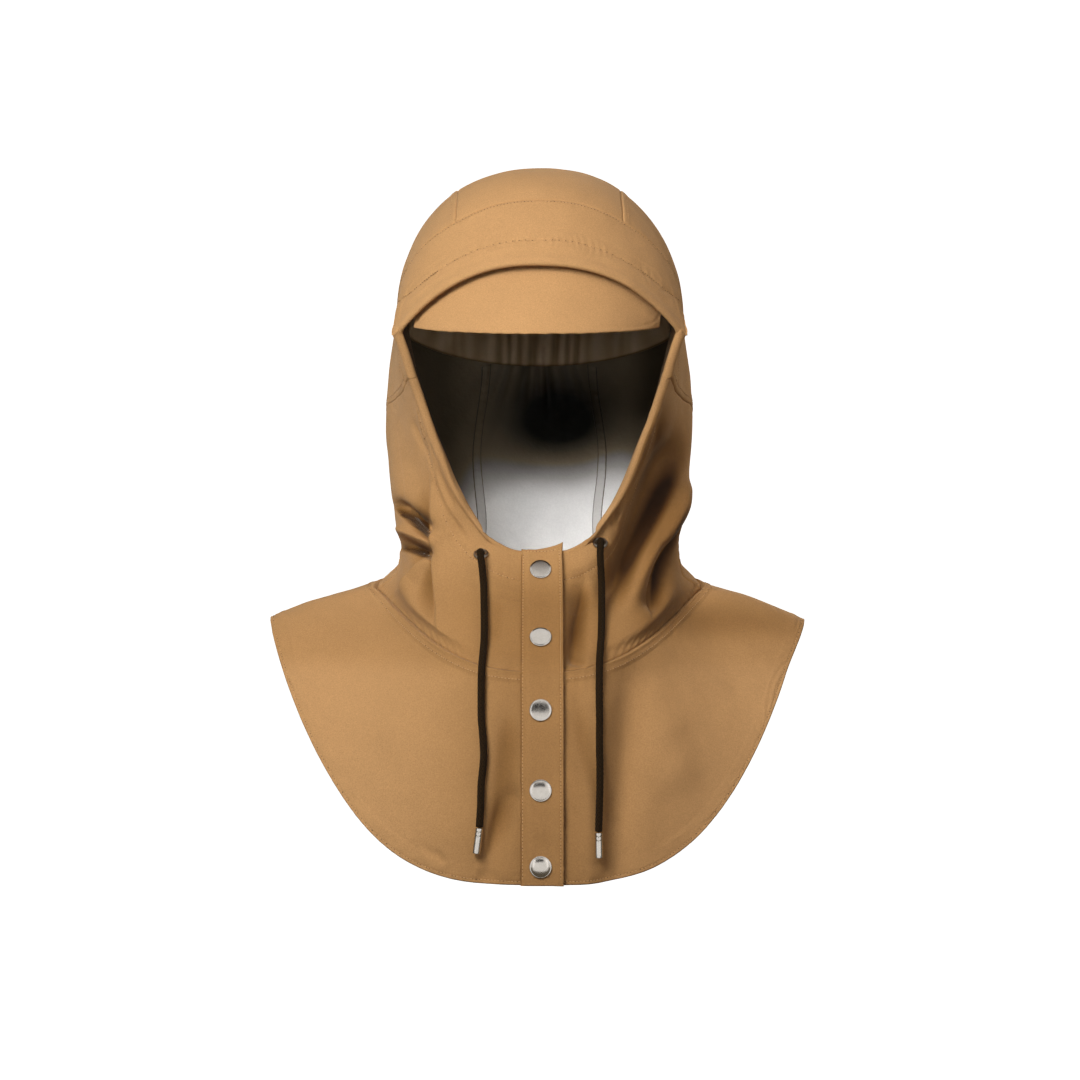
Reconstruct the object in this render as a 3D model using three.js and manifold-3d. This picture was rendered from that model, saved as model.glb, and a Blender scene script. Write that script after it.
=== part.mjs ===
// A detachable hood with a shoulder cape, in millimetres, +Z up, its front facing -Y.
// The origin is the head seat: the inside of the crown at its highest point.
// The hood is a bent tube of cloth. Its loops run from the neck seam (t = 0) to the rim of the
// face opening (t = 1), and the angle b runs round each loop from the front centre (0) over the
// wearer's left side (+90, which is +X) to the back centre (180).
import * as THREE from 'three';
import { mergeVertices } from 'three/addons/utils/BufferGeometryUtils.js';
import Module from 'manifold-3d';

// Driving dimensions: the whole hood
const HOOD_HEIGHT = 416;
const HOOD_DEPTH = 270;
const HOOD_WIDTH = 262;
const NECK_WIDTH = 274;
const FACE_WIDTH = 238;

// Cloth walls and the clearance between neighbouring pieces
const CLOTH = 1.4;
const RIM_HEM = 3.6;
const CAPE_HEM = 2.6;
const SEAM_GAP = 0.3;
const LAYER_GAP = 0.9;
const INSIDE_GAP = 1.5;

// Cape: its width over the shoulders and how far it falls and reaches past the neck seam
const CAPE_WIDTH = 448;
const CAPE_FRONT_DROP = 170;
const CAPE_BACK_DROP = 205;
const CAPE_SIDE_DROP = 26.5;
const CAPE_FRONT_REACH = 18;
const CAPE_BACK_REACH = 40;
const CAPE_CORNER_Y = 8;
const CAPE_HEM_WIDTH = 13;
const CAPE_SWELL = 7;
const CAPE_SHOULDER_SWELL = 5;

// Front closure
const FRONT_SLIT = 8;
const PLACKET_WIDTH = 34;
const PLACKET_SHIFT = 2.2;
const PLACKET_WALL = 2.8;
const UNDER_PLACKET_WIDTH = 33;
const UNDER_PLACKET_WALL = 2.2;
const UNDER_PLACKET_RISE = 5;

// Snap caps
const SNAP_DIAMETER = 17.8;
const SNAP_HEIGHT = 3.4;
const SNAP_EDGE = 1.1;
const SNAP_SEAT = 0.5;
const SNAP_SHIFT = 1;
const SNAP_BEVEL = 0.4;

// Peak over the forehead
const PEAK_WALL = 2;
const PEAK_REACH = 30;
const PEAK_DROP = 68;
const PEAK_TIP = 17;

// Inside: the gathered channel across the back and the tapes over the centre seams
const CHANNEL_WIDTH = 40;
const CHANNEL_WALL = 1.2;
const CHANNEL_DEPTH_BELOW_CROWN = 158;
const CHANNEL_END_RISE = 22;
const TAPE_WIDTH = 9;
const TAPE_WALL = 0.8;

// Eyelets, drawcords and their metal tips
const EYELET_DIAMETER = 12.5;
const EYELET_HOLE = 7;
const EYELET_WALL = 0.7;
const EYELET_FLANGE = 1;
const EYELET_SEAT = 0.7;
const EYELET_TILT = 16;
const CORD_DIAMETER = 6;
const TIP_DIAMETER = 6.4;
const TIP_LENGTH = 20;

// Colours, taken as plain sheet materials
const TAN = new THREE.MeshStandardMaterial({ color: 0xb98f5c, roughness: 0.85, metalness: 0 });
const DARK_TAN = new THREE.MeshStandardMaterial({ color: 0x9d744a, roughness: 0.85, metalness: 0 });
const LINING = new THREE.MeshStandardMaterial({ color: 0xa7a49c, roughness: 0.6, metalness: 0 });
const STEEL = new THREE.MeshStandardMaterial({ color: 0xc9c4bb, roughness: 0.25, metalness: 1 });
const DARK_STEEL = new THREE.MeshStandardMaterial({ color: 0x4a4038, roughness: 0.35, metalness: 1 });
const BROWN_CORD = new THREE.MeshStandardMaterial({ color: 0x2e2013, roughness: 0.9, metalness: 0 });

// Hood sections. y is a share of the hood's depth, z a share of its height below the crown, width
// a share of the hood's width, seat the share of the chord where the loop is widest, and bow a
// share of the depth. frontM and frontN, backM and backN shape the loop's two halves.
const SECTIONS = [
  { t: 0.00, frontY: -0.459, frontZ: 1.000, backY: 0.385, backZ: 0.816, width: 0,
    seat: 0.61, frontM: 2.80, frontN: 1.28, backM: 2.00, backN: 0.50, bow: -0.067 },
  { t: 0.12, frontY: -0.426, frontZ: 0.975, backY: 0.415, backZ: 0.715, width: 0.916,
    seat: 0.53, frontM: 2.15, frontN: 0.55, backM: 2.00, backN: 0.50, bow: -0.044 },
  { t: 0.28, frontY: -0.387, frontZ: 0.938, backY: 0.481, backZ: 0.544, width: 0.901,
    seat: 0.52, frontM: 2.00, frontN: 0.50, backM: 2.00, backN: 0.50, bow: 0 },
  { t: 0.42, frontY: -0.350, frontZ: 0.902, backY: 0.511, backZ: 0.364, width: 0.962,
    seat: 0.54, frontM: 2.00, frontN: 0.50, backM: 2.00, backN: 0.50, bow: 0.030 },
  { t: 0.56, frontY: -0.313, frontZ: 0.869, backY: 0.437, backZ: 0.152, width: 1.000,
    seat: 0.57, frontM: 2.00, frontN: 0.50, backM: 2.00, backN: 0.50, bow: 0.052 },
  { t: 0.70, frontY: -0.276, frontZ: 0.833, backY: 0.230, backZ: 0.034, width: 0.947,
    seat: 0.61, frontM: 2.06, frontN: 0.55, backM: 2.28, backN: 0.50, bow: 0.059 },
  { t: 0.82, frontY: -0.246, frontZ: 0.804, backY: -0.037, backZ: 0.001, width: 0.916,
    seat: 0.65, frontM: 2.17, frontN: 0.65, backM: 2.38, backN: 0.53, bow: 0.059 },
  { t: 0.92, frontY: -0.223, frontZ: 0.782, backY: -0.311, backZ: 0.056, width: 0.878,
    seat: 0.70, frontM: 2.33, frontN: 0.80, backM: 2.28, backN: 0.70, bow: 0.067 },
  { t: 1.00, frontY: -0.212, frontZ: 0.771, backY: -0.485, backZ: 0.220, width: 0,
    seat: 0.734, frontM: 2.89, frontN: 1.20, backM: 2.45, backN: 1.05, bow: 0.074 },
];

// Seam lines on the hood, angles in degrees: the side seam and the centre seams by t, the band
// seam and the rim hem's stitch line by angle.
const SIDE_SEAM = [
  { t: 0.0, angle: 80 }, { t: 0.1, angle: 86 }, { t: 0.3, angle: 93 }, { t: 0.5, angle: 94 },
  { t: 0.68, angle: 78 }, { t: 0.8, angle: 69 }, { t: 1.0, angle: 64 },
];
const CENTRE_SEAM = [
  { t: 0.0, angle: 155 }, { t: 0.12, angle: 155 }, { t: 0.28, angle: 152 }, { t: 0.42, angle: 158 },
  { t: 0.56, angle: 156 }, { t: 0.8, angle: 146 }, { t: 0.937, angle: 143.5 },
];
const BAND_SEAM = [
  { angle: 80, t: 0.82 }, { angle: 90, t: 0.865 }, { angle: 106, t: 0.907 },
  { angle: 122, t: 0.924 }, { angle: 143.5, t: 0.937 }, { angle: 180, t: 0.94 },
];
const HEM_LINE = [
  { angle: 0, t: 0.715 }, { angle: 18, t: 0.70 }, { angle: 32, t: 0.705 }, { angle: 42, t: 0.756 },
  { angle: 48, t: 0.826 }, { angle: 66, t: 0.90 }, { angle: 100, t: 0.95 }, { angle: 130, t: 0.974 },
  { angle: 180, t: 0.978 },
];
const BAND_MEETS_SIDE = 0.77;

// Folds, each a line seen from the front: x as shares of half the hood's width, z as shares of the
// hood's height below the crown, spread and depth as shares of the hood's width.
const FOLDS = [
  { x0: 0.85, z0: 0.595, x1: 0.48, z1: 0.830, spread: 0.055, depth: -0.038 },
  { x0: 0.94, z0: 0.650, x1: 0.58, z1: 0.845, spread: 0.042, depth: 0.026 },
  { x0: 0.79, z0: 0.775, x1: 0.70, z1: 0.865, spread: 0.030, depth: -0.026 },
  { x0: -0.90, z0: 0.685, x1: -0.70, z1: 0.722, spread: 0.022, depth: -0.020 },
  { x0: -0.86, z0: 0.722, x1: -0.70, z1: 0.750, spread: 0.020, depth: 0.014 },
  { x0: -0.85, z0: 0.755, x1: -0.70, z1: 0.772, spread: 0.020, depth: -0.022 },
  { x0: 0.28, z0: 0.825, x1: 0.20, z1: 0.965, spread: 0.024, depth: -0.014 },
  { x0: 0.58, z0: 1.035, x1: 0.48, z1: 1.380, spread: 0.060, depth: -0.022 },
  { x0: 0.38, z0: 1.060, x1: 0.34, z1: 1.380, spread: 0.055, depth: 0.012 },
  { x0: -0.17, z0: 1.240, x1: -0.31, z1: 1.390, spread: 0.030, depth: -0.012 },
];

const FOLD_END_Y = 40;
const FOLD_FADE = 50;

// Snap caps, by their share of the placket's length from its top
const SNAPS = [0.071, 0.299, 0.516, 0.736, 0.946];

// Eyelets, by angle and t on the collar. Left and right are the wearer's: left is +X.
const EYELETS = {
  left: { angle: 24.5, t: 0.81 },
  right: { angle: -23, t: 0.755 },
};

// Drawcord routes from inside the eyelet to the tip, and where each tip ends, chosen by hand
const CORDS = {
  left: [
    [49.8, -59.0, -313.8],
    [50.2, -64.4, -310.9],
    [50.1, -69.4, -313.8],
    [49.8, -71.4, -322.0],
    [50.8, -75.4, -345.8],
    [50.6, -88.7, -366.2],
    [50.0, -102.6, -386.4],
    [48.4, -118.2, -406.0],
    [47.9, -127.4, -426.7],
    [48.0, -134.8, -452.7],
    [47.9, -138.4, -471.2],
    [48.2, -142.1, -499.3],
    [47.7, -144.1, -521.4],
    [47.0, -145.2, -541.9],
  ],
  right: [
    [-47.6, -62.2, -323.0],
    [-48.2, -67.4, -319.6],
    [-48.0, -72.2, -322.4],
    [-46.9, -74.6, -330.6],
    [-45.4, -79.4, -346.0],
    [-44.6, -93.3, -371.4],
    [-44.5, -107.2, -391.1],
    [-46.0, -121.9, -411.0],
    [-46.4, -126.4, -426.5],
    [-46.2, -132.4, -452.7],
    [-45.0, -135.4, -466.0],
    [-44.3, -138.5, -482.7],
    [-46.2, -140.8, -505.0],
    [-46.6, -142.4, -521.0],
    [-47.6, -143.1, -538.5],
  ],
};
const TIP_ENDS = { left: [47.2, -145.4, -562.3], right: [-50.1, -143.0, -559.0] };

const RAD = Math.PI / 180;
const CROWN_TOP = CLOTH;

// A smooth curve through the rows of a table: the value of one column at a place
function between(rows, key, column, place) {
  let i = 0;
  while (i < rows.length - 2 && place > rows[i + 1][key]) i += 1;
  const slope = (k) => {
    const a = rows[Math.max(k - 1, 0)];
    const c = rows[Math.min(k + 1, rows.length - 1)];
    return (c[column] - a[column]) / (c[key] - a[key]);
  };
  const span = rows[i + 1][key] - rows[i][key];
  const u = (place - rows[i][key]) / span;
  const v = 1 - u;
  return (1 + 2 * u) * v * v * rows[i][column] + u * v * v * span * slope(i)
    + u * u * (3 - 2 * u) * rows[i + 1][column] - u * u * v * span * slope(i + 1);
}

function mix(a, b, share) {
  return a + (b - a) * share;
}

// The hood's outer face without folds. The first and last loops have widths of their own.
const LOOPS = SECTIONS.map((row) => ({ ...row }));
LOOPS[0].width = NECK_WIDTH / HOOD_WIDTH;
LOOPS[LOOPS.length - 1].width = FACE_WIDTH / HOOD_WIDTH;

function bareHood(angle, t) {
  const at = (column) => between(LOOPS, 't', column, t);
  const frontY = at('frontY') * HOOD_DEPTH;
  const frontZ = CROWN_TOP - at('frontZ') * HOOD_HEIGHT;
  const alongY = at('backY') * HOOD_DEPTH - frontY;
  const alongZ = CROWN_TOP - at('backZ') * HOOD_HEIGHT - frontZ;
  const chord = Math.hypot(alongY, alongZ);
  const seat = at('seat');
  const sine = Math.sin(angle * RAD);
  const s = Math.abs(sine);
  const turned = Math.abs(((angle + 540) % 360) - 180) > 90;
  const rest = (m, n) => Math.max(0, 1 - s ** m) ** n;
  const share = turned
    ? seat + (1 - seat) * rest(at('backM'), at('backN'))
    : seat * (1 - rest(at('frontM'), at('frontN')));
  const bow = at('bow') * HOOD_DEPTH * s * s;
  return new THREE.Vector3(
    at('width') * HOOD_WIDTH / 2 * sine,
    frontY + alongY * share + alongZ / chord * bow,
    frontZ + alongZ * share - alongY / chord * bow,
  );
}

// The cape's outer face without folds: s runs from the neck seam (0) to the hem (1)
const NECK_FRONT = bareHood(0, 0);
const NECK_SIDE = bareHood(90, 0);
const NECK_BACK = bareHood(180, 0);
const HEM_CURVE = 10 / 3;

function capeHem(angle) {
  const sine = Math.sin(angle * RAD);
  const cosine = Math.cos(angle * RAD);
  const endY = cosine > 0 ? NECK_FRONT.y - CAPE_FRONT_REACH : NECK_BACK.y + CAPE_BACK_REACH;
  const endZ = cosine > 0 ? NECK_FRONT.z - CAPE_FRONT_DROP : NECK_BACK.z - CAPE_BACK_DROP;
  const cornerZ = NECK_SIDE.z - CAPE_SIDE_DROP;
  return new THREE.Vector3(
    CAPE_WIDTH / 2 * sine,
    mix(CAPE_CORNER_Y, endY, Math.abs(cosine)),
    mix(endZ, cornerZ, Math.abs(sine) ** HEM_CURVE),
  );
}

function bareCape(angle, s) {
  const point = bareHood(angle, 0).lerp(capeHem(angle), s);
  const swell = 4 * s * (1 - s);
  const sine = Math.sin(angle * RAD);
  point.y -= swell * CAPE_SWELL * Math.cos(angle * RAD);
  point.z += swell * CAPE_SHOULDER_SWELL * sine * sine;
  return point;
}

// The unit normal of a face, pointing away from the wearer
function normalOf(face, u, v) {
  const du = 0.6;
  const dv = 0.004;
  const across = face(u + du, v).sub(face(u - du, v));
  const along = face(u, v + dv).sub(face(u, v - dv));
  return across.cross(along).normalize();
}

function distanceToLine(x, z, fold) {
  const ax = fold.x0 * HOOD_WIDTH / 2;
  const az = CROWN_TOP - fold.z0 * HOOD_HEIGHT;
  const bx = fold.x1 * HOOD_WIDTH / 2 - ax;
  const bz = CROWN_TOP - fold.z1 * HOOD_HEIGHT - az;
  const share = ((x - ax) * bx + (z - az) * bz) / (bx * bx + bz * bz);
  const near = Math.min(1, Math.max(0, share));
  return Math.hypot(x - ax - bx * near, z - az - bz * near);
}

// How far the folds move a point of the front along its normal. They fade out behind FOLD_END_Y.
function foldDepth(point) {
  if (point.y > FOLD_END_Y) return 0;
  const fade = Math.min(1, (FOLD_END_Y - point.y) / FOLD_FADE);
  let sum = 0;
  for (const fold of FOLDS) {
    const ratio = distanceToLine(point.x, point.z, fold) / (fold.spread * HOOD_WIDTH);
    sum += fold.depth * HOOD_WIDTH * Math.exp(-ratio * ratio);
  }
  return sum * fade;
}

function folded(face, normal) {
  return (u, v) => {
    const point = face(u, v);
    return point.addScaledVector(normal(u, v), foldDepth(point));
  };
}

// The outward normals. The cape's s runs down where the hood's t runs up, so its sign changes.
const hoodNormal = (angle, t) => (t === 0 ? neckNormal(angle) : normalOf(bareHood, angle, t));
const capeNormal = (angle, s) => (s === 0 ? neckNormal(angle) : normalOf(bareCape, angle, s).negate());

// The outer faces with their folds
const hoodFace = folded(bareHood, (angle, t) => normalOf(bareHood, angle, t));
const capeFace = folded(bareCape, capeNormal);

// Halfway between hood and cape, so that both walls end in one mitre at the neck seam
function neckNormal(angle) {
  const above = normalOf(bareHood, angle, 0);
  const below = normalOf(bareCape, angle, 0).negate();
  return above.add(below).normalize();
}

// A closed wall over a grid of places. place(i, j) gives { point, normal, wall }: a point of the
// outer face, its outward normal and the wall's thickness there.
function wallOver(columns, rows, place) {
  const outer = [];
  const inner = [];
  for (let i = 0; i <= columns; i += 1) {
    for (let j = 0; j <= rows; j += 1) {
      const { point, normal, wall } = place(i, j);
      outer.push(point);
      inner.push(point.clone().addScaledVector(normal, -wall));
    }
  }
  const id = (i, j) => i * (rows + 1) + j;
  const shift = outer.length;
  const triangles = [];
  const quad = (a, b, c, d) => triangles.push(a, b, c, a, c, d);
  for (let i = 0; i < columns; i += 1) {
    for (let j = 0; j < rows; j += 1) {
      quad(id(i, j), id(i + 1, j), id(i + 1, j + 1), id(i, j + 1));
      quad(shift + id(i, j), shift + id(i, j + 1), shift + id(i + 1, j + 1), shift + id(i + 1, j));
    }
  }
  for (let i = 0; i < columns; i += 1) {
    quad(id(i + 1, 0), id(i, 0), shift + id(i, 0), shift + id(i + 1, 0));
    quad(id(i, rows), id(i + 1, rows), shift + id(i + 1, rows), shift + id(i, rows));
  }
  for (let j = 0; j < rows; j += 1) {
    quad(id(0, j), id(0, j + 1), shift + id(0, j + 1), shift + id(0, j));
    quad(id(columns, j + 1), id(columns, j), shift + id(columns, j), shift + id(columns, j + 1));
  }
  const geometry = new THREE.BufferGeometry();
  const positions = [...outer, ...inner].flatMap((p) => [p.x, p.y, p.z]);
  geometry.setAttribute('position', new THREE.Float32BufferAttribute(positions, 3));
  geometry.setIndex(triangles);
  return pointingOut(geometry);
}

// Turns every triangle round where a closed mesh has its faces pointing in
function pointingOut(geometry) {
  const p = geometry.getAttribute('position');
  const index = geometry.getIndex().array;
  const [a, b, c] = [new THREE.Vector3(), new THREE.Vector3(), new THREE.Vector3()];
  let volume = 0;
  for (let k = 0; k < index.length; k += 3) {
    a.fromBufferAttribute(p, index[k]);
    b.fromBufferAttribute(p, index[k + 1]);
    c.fromBufferAttribute(p, index[k + 2]);
    volume += a.dot(b.cross(c));
  }
  if (volume < 0) {
    for (let k = 0; k < index.length; k += 3) {
      [index[k], index[k + 1]] = [index[k + 1], index[k]];
    }
  }
  geometry.computeVertexNormals();
  return geometry;
}

// The places of a list of stops: even steps between the whole numbers, steps[k] of them each
function stops(steps) {
  const list = [0];
  steps.forEach((count, k) => {
    for (let i = 1; i <= count; i += 1) list.push(k + i / count);
  });
  return list;
}

// Moves the points of a seam edge square to the seam, toward the line of points next to it
function stepBack(edge, inside) {
  const last = edge.length - 1;
  const moved = edge.map(({ point }, k) => {
    const along = edge[Math.min(k + 1, last)].point.clone().sub(edge[Math.max(k - 1, 0)].point).normalize();
    const away = inside[k].point.clone().sub(point);
    away.addScaledVector(along, -away.dot(along)).normalize();
    return point.clone().addScaledVector(away, SEAM_GAP / 2);
  });
  edge.forEach((cell, k) => {
    cell.point = moved[k];
  });
}

// A panel on a grid of stops. at(u, v) gives [angle, t], and cut names the edges that meet a
// neighbour, which step back by half the seam gap.
function panel({ us, vs, at, face, normal, wall, cut }) {
  const grid = us.map((u) => vs.map((v) => {
    const [angle, t] = at(u, v);
    return { point: face(angle, t), normal: normal(angle, t), wall: wall(v) };
  }));
  const lastU = us.length - 1;
  const lastV = vs.length - 1;
  const columnAt = (i) => grid[i];
  const rowAt = (j) => grid.map((column) => column[j]);
  if (cut.includes('first')) stepBack(columnAt(0), columnAt(1));
  if (cut.includes('last')) stepBack(columnAt(lastU), columnAt(lastU - 1));
  if (cut.includes('low')) stepBack(rowAt(0), rowAt(1));
  if (cut.includes('high')) stepBack(rowAt(lastV), rowAt(lastV - 1));
  return wallOver(lastU, lastV, (i, j) => grid[i][j]);
}

// Where the seams run
const BAND_START = between(SIDE_SEAM, 't', 'angle', BAND_MEETS_SIDE);
const BAND_ROWS = [{ angle: BAND_START, t: BAND_MEETS_SIDE }, ...BAND_SEAM];
const BAND_CENTRE = CENTRE_SEAM[CENTRE_SEAM.length - 1].angle;
const RIM_START = SIDE_SEAM[SIDE_SEAM.length - 1].angle;
const folded180 = (angle) => (angle > 180 ? 360 - angle : angle);
const sideSeam = (t) => between(SIDE_SEAM, 't', 'angle', t);
const bandSeam = (angle) => between(BAND_ROWS, 'angle', 't', folded180(angle));
const hemLine = (angle) => between(HEM_LINE, 'angle', 't', folded180(angle));
const CENTRE_TOP = bandSeam(BAND_CENTRE);
const centreSeam = (t) => between(CENTRE_SEAM, 't', 'angle', t);

// Stops along the loops and up the hood. Neighbours share them, so that their edges match.
const COLLAR_COLUMNS = 11;
const SIDE_COLUMNS = 7;
const CENTRE_COLUMNS = 6;
const HOOD_ROWS = 17;
const BAND_ROWS_COUNT = 2;
const HEM_STOPS = [0.1, 0.55, 1];
const collarUs = stops([COLLAR_COLUMNS]);
const hoodVs = stops([HOOD_ROWS]);
const hemVs = (start) => HEM_STOPS.map((share) => start + share);

const plainCloth = () => CLOTH;
const hemmedFrom = (start) => (v) => (v > start ? RIM_HEM : CLOTH);

// The angle at which a loop or ring is x away from the middle
function angleAt(x, halfWidth) {
  return Math.asin(x / halfWidth) / RAD;
}

const hoodHalf = (t) => between(LOOPS, 't', 'width', t) * HOOD_WIDTH / 2;
const capeHalf = (s) => mix(NECK_WIDTH / 2, CAPE_WIDTH / 2, s);

// The same places on the wearer's left (+1) or right (-1)
function onSide(sign, at) {
  return (u, v) => {
    const [angle, t] = at(u, v);
    return [sign * angle, t];
  };
}

// Collar: from the front slit round to the side seam, from the neck seam up to the rim
function collarPlace(u, v) {
  const hem = hemLine(mix(0, RIM_START, u));
  const low = BAND_MEETS_SIDE * hem / hemLine(RIM_START);
  let t = mix(0, low, v);
  if (v > 1) t = mix(low, hem, v - 1);
  if (v > 2) t = mix(hem, 1, v - 2);
  return [mix(angleAt(FRONT_SLIT / 2, hoodHalf(t)), sideSeam(t), u), t];
}

function collar(sign) {
  return panel({
    us: collarUs,
    vs: [...stops([HOOD_ROWS, BAND_ROWS_COUNT]), ...hemVs(2)],
    at: onSide(sign, collarPlace),
    face: hoodFace,
    normal: hoodNormal,
    wall: hemmedFrom(2),
    cut: ['last', 'low'],
  });
}

// Brim band: from one side seam over the forehead to the other, from the band seam to the rim
function brimPlace(u, v) {
  const near = u > 1.5 ? 3 - u : u;
  const over = near > 1;
  const low = over ? mix(BAND_CENTRE, 180, (near - 1) * 2) : mix(BAND_START, BAND_CENTRE, near);
  const rim = over ? low : mix(RIM_START, BAND_CENTRE, near);
  const climb = (start, hem) => (v > 1 ? mix(hem, 1, v - 1) : mix(start, hem, v));
  const t = climb(bandSeam(low), hemLine(rim));
  const end = sideSeam(climb(BAND_MEETS_SIDE, hemLine(RIM_START)));
  const angle = over ? low : mix(end, BAND_CENTRE, near);
  return [u > 1.5 ? 360 - angle : angle, t];
}

function brimBand() {
  return panel({
    us: stops([SIDE_COLUMNS, CENTRE_COLUMNS, SIDE_COLUMNS]),
    vs: [...stops([BAND_ROWS_COUNT]), ...hemVs(1)],
    at: brimPlace,
    face: hoodFace,
    normal: hoodNormal,
    wall: hemmedFrom(1),
    cut: ['first', 'last', 'low'],
  });
}

function sidePanel(sign) {
  return panel({
    us: stops([SIDE_COLUMNS]),
    vs: hoodVs,
    at: onSide(sign, (u, v) => [
      mix(sideSeam(v * BAND_MEETS_SIDE), centreSeam(v * CENTRE_TOP), u),
      v * bandSeam(mix(BAND_START, BAND_CENTRE, u)),
    ]),
    face: hoodFace,
    normal: hoodNormal,
    wall: plainCloth,
    cut: ['first', 'last', 'low', 'high'],
  });
}

function centrePanel() {
  return panel({
    us: stops([CENTRE_COLUMNS]),
    vs: hoodVs,
    at: (u, v) => {
      const seam = centreSeam(v * CENTRE_TOP);
      return [mix(seam, 360 - seam, u), v * bandSeam(mix(BAND_CENTRE, 360 - BAND_CENTRE, u))];
    },
    face: hoodFace,
    normal: hoodNormal,
    wall: plainCloth,
    cut: ['first', 'last', 'low', 'high'],
  });
}

// Cape: from the slit round the back to the slit again, with the stops of the panels above it
function capePlace(u, v) {
  const side = Math.min(u, 5 - u);
  const slit = angleAt(FRONT_SLIT / 2, capeHalf(v));
  let angle = mix(slit, sideSeam(0), side);
  if (side > 1) angle = mix(sideSeam(0), centreSeam(0), side - 1);
  if (side > 2) angle = mix(centreSeam(0), 360 - centreSeam(0), side - 2);
  if (u > 2.5) angle = 360 - angle;
  return [angle, v];
}

const CAPE_STOPS = [0, 0.07, 0.2, 0.35, 0.5, 0.65, 0.8];

function cape() {
  const hemStart = 1 - CAPE_HEM_WIDTH / CAPE_FRONT_DROP;
  return panel({
    us: stops([COLLAR_COLUMNS, SIDE_COLUMNS, CENTRE_COLUMNS, SIDE_COLUMNS, COLLAR_COLUMNS]),
    vs: [...CAPE_STOPS, hemStart, hemStart + 0.01, 1],
    at: capePlace,
    face: capeFace,
    normal: capeNormal,
    wall: (s) => (s > hemStart ? CAPE_HEM : CLOTH),
    cut: ['low'],
  });
}

// The front line at x, by its share of the way from the rim down to the cape's hem
const LINE_STEPS = 60;
const COLLAR_LINE = [0];
for (let i = 1; i <= LINE_STEPS; i += 1) {
  const here = bareHood(0, 1 - i / LINE_STEPS);
  const before = bareHood(0, 1 - (i - 1) / LINE_STEPS);
  COLLAR_LINE.push(COLLAR_LINE[i - 1] + here.distanceTo(before));
}
const COLLAR_LENGTH = COLLAR_LINE[LINE_STEPS];
const CAPE_LENGTH = bareCape(0, 0).distanceTo(bareCape(0, 1));
const FRONT_LENGTH = COLLAR_LENGTH + CAPE_LENGTH;
const NECK_SHARE = COLLAR_LENGTH / FRONT_LENGTH;
const NECK_ROUNDING = 0.03;

function frontPlace(x, share, lift) {
  const length = share * FRONT_LENGTH;
  const onCape = length > COLLAR_LENGTH;
  let i = 0;
  while (i < LINE_STEPS - 1 && COLLAR_LINE[i + 1] < length) i += 1;
  const part = (length - COLLAR_LINE[i]) / (COLLAR_LINE[i + 1] - COLLAR_LINE[i]);
  const t = onCape ? 0 : 1 - (i + part) / LINE_STEPS;
  const s = onCape ? (length - COLLAR_LENGTH) / CAPE_LENGTH : 0;
  const collarAngle = angleAt(x, hoodHalf(t));
  const capeAngle = angleAt(x, capeHalf(s));
  const point = onCape ? capeFace(capeAngle, s) : hoodFace(collarAngle, t);
  const turn = Math.min(1, Math.max(0, (share - NECK_SHARE) / NECK_ROUNDING / 2 + 0.5));
  const normal = hoodNormal(collarAngle, t).lerp(capeNormal(capeAngle, s), turn).normalize();
  return { point: point.addScaledVector(normal, lift), normal };
}

// A strip down the front at x from one side to the other, lifted off the cloth below it
const PLACKET_COLUMNS = 3;
const PLACKET_ROWS = 30;

function frontStrip({ width, top, lift, wall }) {
  const us = stops([PLACKET_COLUMNS]);
  const vs = stops([PLACKET_ROWS]);
  return wallOver(PLACKET_COLUMNS, PLACKET_ROWS, (i, j) => {
    const x = PLACKET_SHIFT + (us[i] - 0.5) * width;
    return { ...frontPlace(x, mix(top, 1, vs[j]), lift), wall };
  });
}

function placket() {
  return frontStrip({
    width: PLACKET_WIDTH,
    top: 0,
    lift: LAYER_GAP + PLACKET_WALL,
    wall: PLACKET_WALL,
  });
}

// The strip under the slit, which shows a little above the rim
function underPlacket() {
  return frontStrip({
    width: UNDER_PLACKET_WIDTH,
    top: -UNDER_PLACKET_RISE / FRONT_LENGTH,
    lift: -RIM_HEM - LAYER_GAP,
    wall: UNDER_PLACKET_WALL,
  });
}

// Peak: a crescent sewn inside the rim over the forehead
const PEAK_COLUMNS = 14;
const PEAK_ROWS = 3;
const PEAK_ROOT_T = 0.985;
const PEAK_HALF_ANGLE = 60;

const PEAK_TAPER = 0.98;

function peakPoint(u, v) {
  const angle = 180 - PEAK_HALF_ANGLE * u;
  const lift = -RIM_HEM - LAYER_GAP;
  const rootAt = (a) => bareHood(a, PEAK_ROOT_T).addScaledVector(hoodNormal(a, PEAK_ROOT_T), lift);
  const root = rootAt(angle);
  const middle = rootAt(180);
  const end = rootAt(180 - PEAK_HALF_ANGLE);
  const fullness = 1 - u * u;
  const free = new THREE.Vector3(
    root.x * PEAK_TAPER,
    root.y - PEAK_REACH * fullness,
    mix(end.z - PEAK_TIP, middle.z - PEAK_DROP, fullness),
  );
  return root.lerp(free, v);
}

function peak() {
  const us = stops([PEAK_COLUMNS]);
  const vs = stops([PEAK_ROWS]);
  return wallOver(PEAK_COLUMNS, PEAK_ROWS, (i, j) => {
    const u = us[i] * 2 - 1;
    const across = peakPoint(u + 0.01, vs[j]).sub(peakPoint(u - 0.01, vs[j]));
    const along = peakPoint(u, vs[j] + 0.01).sub(peakPoint(u, vs[j] - 0.01));
    const normal = along.cross(across).normalize();
    if (normal.y > 0) normal.negate();
    return { point: peakPoint(u, vs[j]), normal, wall: PEAK_WALL };
  });
}

// The t at which a line of the hood reaches a height
function tAtHeight(angle, z) {
  let low = 0.02;
  let high = 0.8;
  for (let k = 0; k < 30; k += 1) {
    const middle = (low + high) / 2;
    if (hoodFace(angle, middle).z < z) low = middle;
    else high = middle;
  }
  return low;
}

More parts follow.
